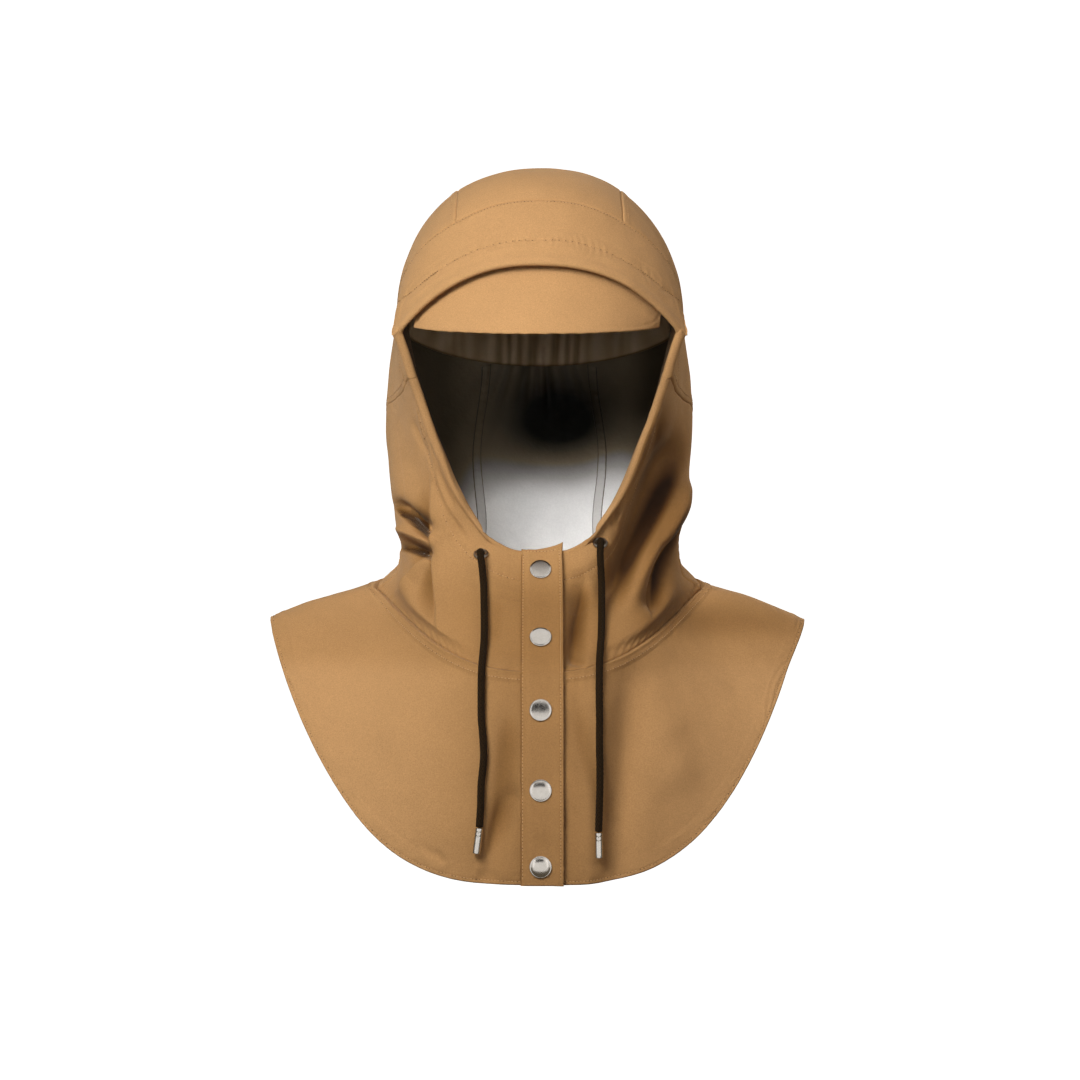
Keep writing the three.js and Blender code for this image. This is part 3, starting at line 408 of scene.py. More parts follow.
def neck_normal(a):
    """Halfway between the hood's and the cape's outward normals at the neck seam"""
    zero = np.zeros_like(np.asarray(a, float))
    return unit(metric(bare_hood, a, zero)[2] - metric(bare_cape, a, zero)[2])


def broad_folds(point):
    """The folds of the solids: bells of the distance to a line in x and z, fading to the back"""
    x, y, z = np.moveaxis(point, -1, 0)
    half, high, wide = size("width") / 2, size("height"), size("width")
    total = 0.0
    for x0, z0, x1, z1, spread, depth in FOLDS:
        ax, az = x0 * half, size("cloth") - z0 * high
        bx, bz = x1 * half - ax, size("cloth") - z1 * high - az
        near = np.clip(((x - ax) * bx + (z - az) * bz) / (bx * bx + bz * bz), 0, 1)
        distance = np.hypot(x - ax - bx * near, z - az - bz * near)
        total = total + depth * wide * hump(distance, spread * wide)
    return total * np.clip((40 - y) / 50, 0, 1)


def reach_along(points):
    """The distance of each point of a line from its start"""
    return np.r_[0, np.cumsum(np.linalg.norm(np.diff(points, axis=0), axis=1))]


def smooth_line(points, count):
    """A smooth line of count points through a few, by their distance along it"""
    points = np.asarray(points, float)
    reach = reach_along(points)
    return curve(np.c_[reach, points], np.linspace(0, reach[-1], count))


def creases(point):
    """Sharper creases: bells whose spread differs left and right of a smooth line, and whose depth
    tapers over the first and last third of it. The pleat's folds keep their depth up to the pleat."""
    x, y, z = np.moveaxis(point, -1, 0)
    total = 0.0
    for k, (line, depth, left, right) in enumerate(CREASES + PLEAT_FOLDS):
        path = smooth_line(line, CREASE_STEPS + 1)
        best = np.full(x.shape, 1e9)
        side, place = np.zeros(x.shape), np.zeros(x.shape)
        for i, ((ax, az), (dx, dz)) in enumerate(zip(path[:-1], np.diff(path, axis=0))):
            near = np.clip(((x - ax) * dx + (z - az) * dz) / (dx * dx + dz * dz), 0, 1)
            ox, oz = x - ax - near * dx, z - az - near * dz
            distance = np.hypot(ox, oz)
            closer = distance < best
            best = np.where(closer, distance, best)
            side = np.where(closer, dx * oz - dz * ox, side)
            place = np.where(closer, (i + near) / CREASE_STEPS, place)
        end = step((1 - place) * 3) if k < len(CREASES) else step((curve(PLEAT, z) - x) / 1.6 + 0.5)
        total = total + depth * step(place * 3) * end * hump(best, np.where(side > 0, left, right))
    return total * np.clip((30 - y) / 40, 0, 1)


def painted_cloth_shade(point):
    """Painted shade on the outer cloth: down the middle of the front, on the wearer's left cheek and in
    its hollow, round the neck, and in deep creases"""
    x, y, z = np.moveaxis(point, -1, 0)
    facing = step((20 - y) / 60)
    front = 0.31 * hump(x - 4, 80) * step((-315 - z) / 50) * facing
    cheek = 0.42 * step((x - 64) / 34) * step((-190 - z) / 50) * step((z + 402) / 30) * facing
    hollow = 0.5 * np.exp(-(((x - 110) / 23) ** 2) - ((z + 238) / 42) ** 2) * facing
    collar = 0.13 * step((-235 - z) / 60) * step((z + 424) / 24) * facing
    folds = np.clip(1 + 0.10 * np.minimum(0, creases(point) + 1.2), 0.10, 1)
    return folds * (1 - front) * (1 - cheek) * (1 - hollow) * (1 - collar)


def channel_foot(z):
    """How far a height lies below the gathered channel's middle"""
    return np.maximum(0, -157 - z)


def painted_lining_shade(point):
    """Painted shade on the lining: pale low at the back, brown above, black behind the middle"""
    x, _, z = np.moveaxis(point, -1, 0)
    border = -247 - 30 * hump(x + 88, 36) + 9 * hump(x - 62, 20) + 5 * ripple(point, 60, 47)
    value = mix(0.40, 1.0, 1 - step((z - border) / 54 + 0.5))
    value = value * (1 + 0.22 * (gathers(point) + 2.0 * hump(channel_foot(z), 42) * hump(x, 40)))
    blob = 1.25 * np.exp(-(((x - 16) / 60) ** 2) - ((z + 206) / np.where(z < -206, 36, 52)) ** 2)
    right = 0.55 * step((-x - 52) / 35) * step((z + 350) / 60)
    left = 0.6 * step((x - 72) / 30) * step((z + 275) / 60)
    return np.clip(value * (1 - blob) * (1 - right) * (1 - left), 0, 1)


def eyelet_tilts(point):
    """The cloth leans back above each eyelet: its height above the eyelet times a bell round it"""
    total = 0.0
    for angle, t in EYELETS.values():
        away = point - bare_hood(angle, t)
        total = total - EYELET_LEAN * away[..., 2] * hump(np.linalg.norm(away, axis=-1), 9.0)
    return total


def turn_of(a):
    """The angle from the front centre, 0 to 180 on both sides"""
    return 180 - np.abs(180 - np.asarray(a, float) % 360)


def along_seam(table, a, t, per_a, per_t):
    """Signed distance to a seam given by t, positive towards the back"""
    slope = (curve(table, t + 0.005) - curve(table, t - 0.005)) / 0.01
    return (turn_of(a) - curve(table, t)) / np.sqrt(per_a**-2 + (slope / per_t) ** 2)


def across_seam(table, a, t, per_a, per_t):
    """Signed distance to a seam given by angle, positive towards the rim"""
    turn = turn_of(a)
    low, high = table[0, 0], table[-1, 0]
    inner = np.clip(turn, low, high)
    ahead, behind = np.clip(inner + 0.5, low, high), np.clip(inner - 0.5, low, high)
    slope = (curve(table, ahead) - curve(table, behind)) / np.maximum(ahead - behind, 0.1)
    return (t - curve(table, inner)) / np.sqrt(per_t**-2 + (slope / per_a) ** 2)


def groove(d, depth, width):
    """A furrow along d = 0"""
    return -depth * hump(d, width)


def lap(d, width, height):
    """A raised band from d = 0 to width"""
    return height * step((d + 0.3) / 1.1) * (1 - step((d - width) / 1.6))


def puckers(d, place, reach, pitch, height):
    """Small waves across a seam: they fade with the distance d from it"""
    wander = 1.6 * np.sin(place / (2.7 * pitch)) + 0.9 * np.sin(place / (1.3 * pitch) + 1.0)
    return height * hump(d, reach) * np.sin(place * (2 * np.pi / pitch) + wander)


def hood_cloth(a, t):
    """The hood's outer face, its outward normal, and its inner face. Folds and creases move both
    faces; seams, hem and puckers are relief on the outer face, and the rim is rounded off."""
    a, t = np.broadcast_arrays(np.asarray(a, float), np.asarray(t, float))
    point = bare_hood(a, t)
    per_a, per_t, normal = metric(bare_hood, a, t)
    near_neck = step(1 - t * per_t / 8)[..., None]
    normal = unit(mix(normal, neck_normal(a), near_neck))
    side = along_seam(SIDE_SEAM, a, t, per_a, per_t)
    faint = np.where(np.sin(np.radians(a)) < 0, 0.35, 1.0)
    centre = along_seam(CENTRE_SEAM, a, t, per_a, per_t)
    band = across_seam(BAND_SEAM, a, t, per_a, per_t)
    hem = across_seam(HEM_LINE, a, t, per_a, per_t)
    neck, rim = t * per_t, np.maximum(0, (1 - t) * per_t)
    behind = step(side / 2)
    crown = behind * step(-band / 2)
    round_place = turn_of(a) * per_a
    up_place = t * per_t

    off_neck = step(neck / 12)
    lie = mix(1.0, mix(0.25, 1.0, step(-normal[..., 1] / 0.42)), off_neck)
    broad = broad_folds(point) * mix(0.5, 1.0, lie) + creases(point) * lie + eyelet_tilts(point)
    broad = broad + (1.3 * ripple(point, 95, 3) + 0.5 * ripple(point, 34, 5)) * off_neck

    relief = faint * (groove(side, 0.8, 0.9) + lap(side, 7, 0.6) + groove(side - SIDE_ROW, 0.3, 0.7))
    relief += puckers(side, up_place, 7, 11, 0.22)
    relief += crown * (groove(centre, 0.7, 0.9) + lap(-centre, 6, 0.5)
                       + groove(centre + CENTRE_ROW, 0.3, 0.7))
    relief += crown * puckers(centre, up_place, 6, 9, 0.2)
    relief += behind * (groove(band, 0.8, 0.9) + lap(band, 30, 0.5))
    relief += behind * puckers(band, round_place, 6, 9, 0.15)
    relief += groove(neck, 0.8, 1.0) + puckers(neck, round_place, 9, 14, 0.3)
    waver = 0.5 + 0.5 * ripple(point, 26, 11, 5)
    gathered = 0.22 + 0.2 * step((turn_of(a) - 120) / 20)
    relief += groove(hem, 0.45, 0.8) + puckers(hem, round_place + 0.4 * up_place, 7, 8, gathered)
    relief += 0.9 * hump(hem - 6.5, 3.2) * waver + 0.5 * hump(hem + 5, 3.0) * (1 - waver)
    relief += 0.9 * hump(rim - 5.0, 4.5)

    cheek = step((turn_of(a) - 30) / 22) * step((RIM_END - turn_of(a)) / 16)
    roll = RIM_ROLL * cheek * (1 - np.minimum(rim / 13, 1) ** 2)
    wall = mix(size("cloth"), size("rim_hem"), step((hem + 1.0) / 2.0)) + roll
    rounded = rim_round(rim, wall)
    outer = point + normal * (broad + relief - rounded)[..., None]
    lining = gathers(point) * step(-hem / 6) - 0.5 * hump(hem, 1.2)
    lining += 0.35 * ripple(point, 22, 17, 5) * step(-hem / 4)
    inner = point + normal * (broad + lining + 0.3 * relief - wall + rounded)[..., None]
    return outer, normal, inner


def rim_round(distance, wall):
    """How far each face drops towards the wall's middle near a free edge: a quarter circle"""
    radius = wall * 0.49
    gap = radius - np.minimum(distance, radius)
    return radius - np.sqrt(np.maximum(radius**2 - gap**2, 0))


def gathers(point):
    """Folds of the lining that fan out below the gathered channel at the middle of the back"""
    x, y, z = np.moveaxis(point, -1, 0)
    below = channel_foot(z)
    fan = x / (1 + below / 90)
    waves = np.sin(fan * (2 * np.pi / 11) + 1.2 * np.sin(fan / 5))
    waves = waves + 0.6 * np.sin(fan * (2 * np.pi / 19) + 2)
    back = step((y - 20) / 30) * step((-120 - z) / 25)
    return 1.3 * (waves - 1.7) * hump(below, 42) * hump(fan, 34) * back


def cape_cloth(a, s):
    """The cape's outer face, outward normal and inner face, with the neck seam's felled ridge and
    the turned hem as relief"""
    a, s = np.broadcast_arrays(np.asarray(a, float), np.asarray(s, float))
    point = bare_cape(a, s)
    per_a, per_s, normal = metric(bare_cape, a, s)
    neck, edge = s * per_s, np.maximum(0, (1 - s) * per_s)
    normal = unit(mix(-normal, neck_normal(a), step(1 - neck / 8)[..., None]))
    place = turn_of(a) * per_a

    broad = broad_folds(point) + creases(point)
    broad = broad + (1.8 * ripple(point, 120, 23) + 0.6 * ripple(point, 40, 29)) * step(neck / 12)

    relief = groove(neck, 1.2, 0.9) + lap(neck - 0.9, 7.5, 1.1) + 0.8 * hump(neck - 2.4, 1.3)
    relief += groove(neck - CAPE_NECK_ROW, 0.35, 0.8) + puckers(neck - 8, place, 7, 9, 0.22)
    relief += (lap(edge, 12.5, 0.22) + groove(edge - CAPE_HEM_ROW, 0.3, 0.8)
               + puckers(edge - 4, place, 8, 10, 0.25))
    relief += 0.5 * ripple(point, 18, 31, 5) * hump(edge, 14)
    wall = mix(size("cloth"), size("cape_hem"), step((13.5 - edge) / 1.5))
    rounded = rim_round(edge, wall)
    outer = point + normal * (broad + relief - rounded)[..., None]
    inner = point + normal * (broad + 0.3 * relief - wall + rounded)[..., None]
    drawn_in = 5.0 * step((point[..., 0] - 20) / 60) * step((-370 - point[..., 2]) / 50) * step(s)
    pushed_out = step((-150 - point[..., 0]) / 60) * step(s)
    sway = np.stack([-drawn_in - 2.8 * pushed_out, 0 * s, 2.5 * pushed_out], -1)
    return outer + sway, normal, inner + sway


# Where the panels lie: share grids to angle and t
BAND_START = float(curve(SIDE_SEAM, BAND_MEETS_SIDE))
BAND_ROWS = np.vstack([(BAND_START, BAND_MEETS_SIDE), BAND_SEAM])
BAND_CENTRE, RIM_START = CENTRE_SEAM[-1, 1], SIDE_SEAM[-1, 1]
HEM_AT_RIM_START = float(curve(HEM_LINE, RIM_START))
CENTRE_TOP = float(curve(BAND_ROWS, BAND_CENTRE))


def slit_angle(half_width):
    """The angle of the front slit's edge on a loop of that half width"""
    return np.degrees(np.arcsin(FRONT_SLIT / 2 / half_width))


def hood_half(t):
    """Half the hood's width at t"""
    return bare_hood(90.0, t)[..., 0]


def collar_place(u, v):
    """u from the slit to the side seam; v 0 to 1 up to the band's foot, 1 to 2 up to the hem line,
    2 to 3 up to the rim"""
    hem = curve(HEM_LINE, RIM_START * u)
    low = BAND_MEETS_SIDE * hem / HEM_AT_RIM_START
    t = np.where(v > 2, mix(hem, 1, v - 2), np.where(v > 1, mix(low, hem, v - 1), low * v))
    return mix(slit_angle(hood_half(t)), curve(SIDE_SEAM, t), u), t


def brim_place(u, v):
    """u 0 to 3 from one side seam over the middle to the other; v 0 to 1 from the band seam to the
    hem line, 1 to 2 up to the rim"""
    near = np.where(u > 1.5, 3 - u, u)
    over = near > 1
    low = np.where(over, mix(BAND_CENTRE, 180, (near - 1) * 2), mix(BAND_START, BAND_CENTRE, near))
    rim = np.where(over, low, mix(RIM_START, BAND_CENTRE, near))

    def climb(start, hem):
        return np.where(v > 1, mix(hem, 1, v - 1), mix(start, hem, v))

    t = climb(curve(BAND_ROWS, low), curve(HEM_LINE, rim))
    end = curve(SIDE_SEAM, climb(BAND_MEETS_SIDE, HEM_AT_RIM_START))
    angle = np.where(over, low, mix(end, BAND_CENTRE, near))
    return np.where(u > 1.5, 360 - angle, angle), t


def side_place(u, v):
    """u from the side seam to the centre seam, v from the neck seam to the band seam"""
    angle = mix(curve(SIDE_SEAM, v * BAND_MEETS_SIDE), curve(CENTRE_SEAM, v * CENTRE_TOP), u)
    return angle, v * curve(BAND_ROWS, mix(BAND_START, BAND_CENTRE, u))


def centre_place(u, v):
    """u from one centre seam over the middle of the back to the other, v up to the band seam"""
    seam = curve(CENTRE_SEAM, v * CENTRE_TOP)
    crossing = mix(BAND_CENTRE, 360 - BAND_CENTRE, u)
    return mix(seam, 360 - seam, u), v * curve(BAND_ROWS, turn_of(crossing))


def cape_place(u, v):
    """u 0 to 5: front to side seam, to centre seam, over the back, and round to the front again"""
    near = np.minimum(u, 5 - u)
    side, centre = SIDE_SEAM[0, 1], CENTRE_SEAM[0, 1]
    slit = slit_angle(mix(size("neck_width"), size("cape_width"), v) / 2)
    angle = mix(slit, side, near)
    angle = np.where(near > 1, mix(side, centre, near - 1), angle)
    angle = np.where(near > 2, mix(centre, 360 - centre, near - 2), angle)
    return np.where(u > 2.5, 360 - angle, angle), v


def quads(index):
    """The four corners of each cell of a grid of point numbers"""
    return np.stack([index[:-1, :-1], index[1:, :-1], index[1:, 1:], index[:-1, 1:]], -1).reshape(-1, 4)


def closed_wall(outer, inner):
    """Points and faces of a closed wall between two grids, and which faces are outer, inner and edge"""
    across, along = outer.shape[:2]
    index = np.arange(across * along).reshape(across, along)
    shift = across * along
    loop = np.concatenate([index[:-1, 0], index[-1, :-1], index[:0:-1, -1], index[0, :0:-1]])
    following = np.roll(loop, -1)
    front, back = quads(index), quads(index)[:, ::-1] + shift
    edge = np.stack([following, loop, loop + shift, following + shift], -1)
    points = np.concatenate([outer.reshape(-1, 3), inner.reshape(-1, 3)])
    faces = np.concatenate([front, back, edge])
    kind = np.repeat([0, 1, 2], [len(front), len(back), len(edge)])
    a, b, c, d = (points[faces[:, k]] for k in range(4))
    volume = np.einsum("ij,ij->", a, np.cross(b, c)) + np.einsum("ij,ij->", a, np.cross(c, d))
    return points, faces if volume > 0 else faces[:, ::-1], kind


def tube_faces(rings, sides):
    """Faces of an open tube of rings with that many sides"""
    index = np.arange(rings * sides).reshape(rings, sides)
    index = np.c_[index, index[:, 0]]
    return np.stack([index[:-1, :-1], index[:-1, 1:], index[1:, 1:], index[1:, :-1]], -1).reshape(-1, 4)


def piece(name, points, faces, finishes, kinds=None, uv=None, tone=None):
    """A smooth-shaded mesh object from arrays, in metres, with one material number per face. tone is
    painted shade: it darkens the cloth in deep folds and shaded depths, and is 1 where the cloth
    keeps its colour."""
    mesh = bpy.data.meshes.new(name)
    faces = np.ascontiguousarray(faces, np.int32)
    corners = faces.shape[1]
    mesh.vertices.add(len(points))
    mesh.vertices.foreach_set("co", (np.asarray(points) * MM).astype(np.float32).ravel())
    mesh.loops.add(faces.size)
    mesh.loops.foreach_set("vertex_index", faces.ravel())
    mesh.polygons.add(len(faces))
    mesh.polygons.foreach_set("loop_start", np.arange(len(faces), dtype=np.int32) * corners)
    mesh.polygons.foreach_set("loop_total", np.full(len(faces), corners, np.int32))
    mesh.polygons.foreach_set("use_smooth", np.ones(len(faces), bool))
    if kinds is not None:
        mesh.polygons.foreach_set("material_index", np.asarray(kinds, np.int32))
    if uv is not None:
        layer = mesh.uv_layers.new(name="UVMap")
        layer.data.foreach_set("uv", (uv[faces.ravel()] * MM).astype(np.float32).ravel())
    mesh.update(calc_edges=True)
    mesh.validate()
    tones = mesh.attributes.new("tone", "FLOAT", "POINT")
    tones.data.foreach_set("value", np.ones(len(points), np.float32) if tone is None else
                           np.asarray(tone, np.float32).ravel())
    for finish in finishes:
        mesh.materials.append(material(finish))
    obj = bpy.data.objects.new(name, mesh)
    bpy.context.scene.collection.objects.link(obj)
    return obj


def mount(obj, slot, *nodes):
    """Rides a piece on the frame's one body and in place of its nodes; slot is not used"""
    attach(obj, "root")
    if nodes:
        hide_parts(*nodes)
    return obj


def flat_uv(grid):
    """Cloth coordinates of a grid of points in millimetres: distances along its two directions,
    kept level across it so that the weave runs straight"""
    across = np.linalg.norm(np.diff(grid, axis=0), axis=-1)
    along = np.linalg.norm(np.diff(grid, axis=1), axis=-1)
    u = np.vstack([np.zeros((1, grid.shape[1])), np.cumsum(across, axis=0)])
    v = np.hstack([np.zeros((grid.shape[0], 1)), np.cumsum(along, axis=1)])
    middle = u[u.shape[0] // 2]
    return np.stack([u - middle, v], -1).reshape(-1, 2)


def cloth_piece(name, us, vs, place, cloth, lined, node, sign=1):
    """A wall of cloth over the share grid us by vs, with lining on the inner faces where v < lined"""
    u, v = np.meshgrid(us, vs, indexing="ij")
    a, t = place(u, v)
    outer, _, inner = cloth(sign * a, t)
    points, faces, kind = closed_wall(outer, inner)
    slots = np.zeros(len(faces), int)
    slots[kind == 1] = ((v[:-1, :-1] + v[1:, 1:]) / 2 < lined).ravel()
    uv = np.concatenate([flat_uv(outer)] * 2)
    # Painted shade: the lining's on inner faces, eased off near the rim; the cloth's on outer faces
    inner_painted_shade = painted_lining_shade(inner)
    if cloth is hood_cloth:
        inner_painted_shade = np.maximum(inner_painted_shade, 0.95 * step((10 - (1 - t) * metric(bare_hood, a, t)[1]) / 5))
    tone = np.concatenate([painted_cloth_shade(outer).ravel(), inner_painted_shade.ravel()])
    return mount(piece(name, points, faces, ["twill", "coated_lining"], slots, uv, tone), "cloth", node)


def wall_piece(name, outer, inner, finish, slot, node, tone=None):
    """A closed wall of one material between two faces, in place of a node"""
    points, faces, _ = closed_wall(outer, inner)
    uv = np.concatenate([flat_uv(outer)] * 2)
    if tone is not None:
        tone = np.concatenate([tone.ravel()] * 2)
    return mount(piece(name, points, faces, [finish], None, uv, tone), slot, node)


class Nodes:
    """A short way to write a material's nodes"""

    def __init__(self, name, base, roughness, metallic=0.0):
        self.material = bpy.data.materials.new(name)
        self.material.use_nodes = True
        self.tree = self.material.node_tree
        self.shader = self.tree.nodes["Principled BSDF"]
        self.set(self.shader, {"Base Color": base, "Roughness": roughness, "Metallic": metallic})
        self.here = self.add("TexCoord").outputs

    def set(self, node, inputs):
        """Gives inputs their values, or links them to other nodes' sockets"""
        for key, value in inputs.items():
            socket = node.inputs[key]
            if isinstance(value, bpy.types.NodeSocket):
                self.tree.links.new(value, socket)
            else:
                socket.default_value = value
        return node

    def add(self, kind, inputs=None, **settings):
        """A new node with its settings and inputs"""
        node = self.tree.nodes.new("ShaderNode" + kind)
        for key, value in settings.items():
            setattr(node, key, value)
        return self.set(node, inputs or {})

    def math(self, operation, a, b=0.0):
        return self.add("Math", {0: a, 1: b}, operation=operation).outputs[0]

    def times(self, first, *others):
        """The product of several factors"""
        for other in others:
            first = self.math("MULTIPLY", first, other)
        return first

    def wave(self, phase):
        return self.math("SINE", phase)

    def noise(self, scale, detail=2.0, roughness=0.5):
        """Noise on the object's own coordinates"""
        inputs = {"Vector": self.here["Object"], "Scale": scale, "Detail": detail, "Roughness": roughness}
        return self.add("TexNoise", inputs).outputs["Fac"]

    def range(self, value, low, high, to_low, to_high):
        inputs = {"Value": value, "From Min": low, "From Max": high, "To Min": to_low, "To Max": to_high}
        return self.add("MapRange", inputs).outputs["Result"]

    def mottle(self, amount, *noise):
        """A factor that wanders by an amount above and below 1"""
        return self.range(self.noise(*noise), 0.25, 0.75, 1 - amount, 1 + amount)

    def tone(self):
        """The piece's painted shade, from its tone attribute"""
        return self.add("Attribute", attribute_name="tone").outputs["Fac"]

    def shade(self, base, *factors):
        """The base colour times one grey factor, or times one each for red, green and blue"""
        parts = factors if len(factors) == 3 else factors * 3
        grey = self.add("CombineColor", dict(enumerate(parts))).outputs[0]
        inputs = {0: 1.0, 6: base, 7: grey}
        return self.add("Mix", inputs, data_type="RGBA", blend_type="MULTIPLY").outputs[2]

    def deepened(self, base, factor):
        """The base colour times a grey factor and the piece's painted shade, with the shade raised to a
        higher power in green and blue, so that the painted shade in deep folds turns a fuller brown"""
        tone = self.tone()
        powers = (self.math("POWER", tone, k) for k in (1.0, 1.2, 1.7))
        return self.shade(base, *(self.times(factor, power) for power in powers))

    def bump(self, height, distance, strength=1.0, after=None):
        inputs = {"Height": height, "Distance": distance, "Strength": strength}
        if after is not None:
            inputs["Normal"] = after
        return self.add("Bump", inputs).outputs["Normal"]

    def finish(self, inputs):
        """Sets the shader's inputs and hands over the material"""
        self.set(self.shader, inputs)
        return self.material


def cloth_material(name, base, speckle=0.17):
    """Fine twill: a diagonal weave on the cloth's own coordinates, speckled yarn and soft blotches"""
    n = Nodes(name, base, 0.78)
    u, v = n.add("SeparateXYZ", {0: n.here["UV"]}).outputs[:2]
    warp = n.wave(n.times(n.math("ADD", u, v), 2 * math.pi / 0.00085))
    weft = n.wave(n.times(v, 2 * math.pi / 0.00060))
    weave = n.math("ADD", n.times(warp, 0.6), n.times(weft, 0.4))
    factor = n.times(n.mottle(speckle, 1050, 2.0, 0.65), n.mottle(0.045, 16, 3.0, 0.55),
                     n.mottle(0.02, 120, 4.0, 0.6), n.range(weave, -1, 1, 0.965, 1.035))
    crumple = n.bump(n.noise(55, 4.0, 0.55), 0.0022, 0.35)
    grain = n.bump(n.noise(900, 2.0, 0.6), 0.00022, 0.5, crumple)
    return n.finish({
        # The base colour carries the piece's painted shade
        "Base Color": n.deepened(base, factor), "Normal": n.bump(weave, 0.00008, 0.6, grain),
        "Sheen Weight": 0.12, "Sheen Roughness": 0.45, "Sheen Tint": (0.95, 0.80, 0.60, 1.0),
        "Specular IOR Level": 0.32,
    })


def lining_material(name, base, roughness):
    """Coated lining: smooth, faintly glossy, with small crumples and patchy wear. The painted shade
    leads from near black through brown and grey to the base colour."""
    n = Nodes(name, base, roughness)
    # The ramp's stops are painted shade: near black, brown and two greys below the base colour
    ramp = n.add("ValToRGB", {0: n.tone()})
    stops = ramp.color_ramp.elements
    stops[0].color, stops[1].color = (0.003, 0.003, 0.002, 1.0), base
    for at, colour_there in ((0.35, (0.19, 0.15, 0.10, 1.0)), (0.46, (0.23, 0.215, 0.20, 1.0)),
                             (0.7, (0.42, 0.405, 0.39, 1.0))):
        stops.new(at).color = colour_there
    factor = n.times(n.mottle(0.07, 30, 4.0, 0.6), n.mottle(0.04, 700))
    crumple = n.bump(n.noise(70, 5.0, 0.6), 0.003, 0.3)
    return n.finish({
        "Base Color": n.shade(ramp.outputs["Color"], factor),
        "Roughness": n.range(n.noise(90, 3.0), 0.3, 0.7, roughness - 0.06, roughness + 0.08),
        "Normal": n.bump(n.noise(1100), 0.0001, 0.4, crumple), "Specular IOR Level": 0.15,
    })


def thread_material(name, base):
    """Twisted thread: a fine spiral seen as noise"""
    n = Nodes(name, base, 0.6)
    return n.finish({"Base Color": n.shade(base, n.range(n.noise(2200), 0.2, 0.8, 0.8, 1.2))})


def metal_material(name, base, roughness, scratch):
    """Plated metal with a brushed haze and small scratches"""
    n = Nodes(name, base, roughness, 1.0)
    return n.finish({
        "Roughness": n.range(n.noise(420, 5.0, 0.65), 0.3, 0.7, roughness - 0.04, roughness + 0.06),
        "Base Color": n.shade(base, n.range(n.noise(160, 3.0), 0.25, 0.75, 0.94, 1.05)),
        "Normal": n.bump(n.noise(1600, 4.0, 0.7), 0.00004, scratch),
    })


def braid_material(name, base):
    """Braided cord: crossed diagonal yarns on the cord's own coordinates, u round and v along it"""
    n = Nodes(name, base, 0.72)
    u, v = n.add("SeparateXYZ", {0: n.here["UV"]}).outputs[:2]
    turns, steps = n.times(u, 2 * math.pi * 8 / 0.01885), n.times(v, 2 * math.pi / 0.0036)
    one, two = (n.wave(n.math(way, turns, steps)) for way in ("ADD", "SUBTRACT"))
    crossed = n.math("MAXIMUM", one, two)
    # The braid's colour holds painted shade in the gaps between yarns and painted glints at random
    glint = n.range(n.noise(2600, 3.0, 0.7), 0.35, 0.8, 0.6, 2.2)
    return n.finish({
        "Base Color": n.shade(base, n.times(n.range(crossed, -1, 1, 0.45, 1.35), glint)),
        "Sheen Weight": 0.02, "Sheen Roughness": 0.4, "Specular IOR Level": 0.12,
        "Normal": n.bump(crossed, 0.0003, 0.8),
    })


def stage_material(name, base, glow):
    """Pale paper that holds its own light, so that it stays even and white"""
    n = Nodes(name, base, 0.9)
    return n.finish({
        "Base Color": n.shade(base, n.range(n.noise(3), 0.2, 0.8, 0.99, 1.01)),
        "Emission Color": base, "Emission Strength": glow,
    })


def material(name):
    """The scene's material of that name, made at its first use"""
    found = bpy.data.materials.get(name)
    if found:
        return found
    makers = {
        "twill": lambda: cloth_material(name, colour("cloth")),
        "coated_lining": lambda: lining_material(name, colour("lining"), 0.42),
        "gathered_lining": lambda: cloth_material(name, colour("channel"), 0.06),
        "seam_tape": lambda: lining_material(name, colour("tape"), 0.34),
        "sewing_thread": lambda: thread_material(name, colour("thread")),
        "painted_needle_hole_shade": lambda: thread_material(name, colour("hole")),
        "plated_metal": lambda: metal_material(name, colour("metal"), 0.20, 0.06),
        "dark_plated_metal": lambda: metal_material(name, colour("dark_metal"), 0.30, 0.35),
        "braided_cord": lambda: braid_material(name, colour("cord")),
        "black_paper": lambda: stage_material(name, (0.002, 0.002, 0.002, 1.0), 0.0),
        "pale_paper": lambda: stage_material(name, colour("floor"), 1.15),
    }
    return makers[name]()


# Stitching

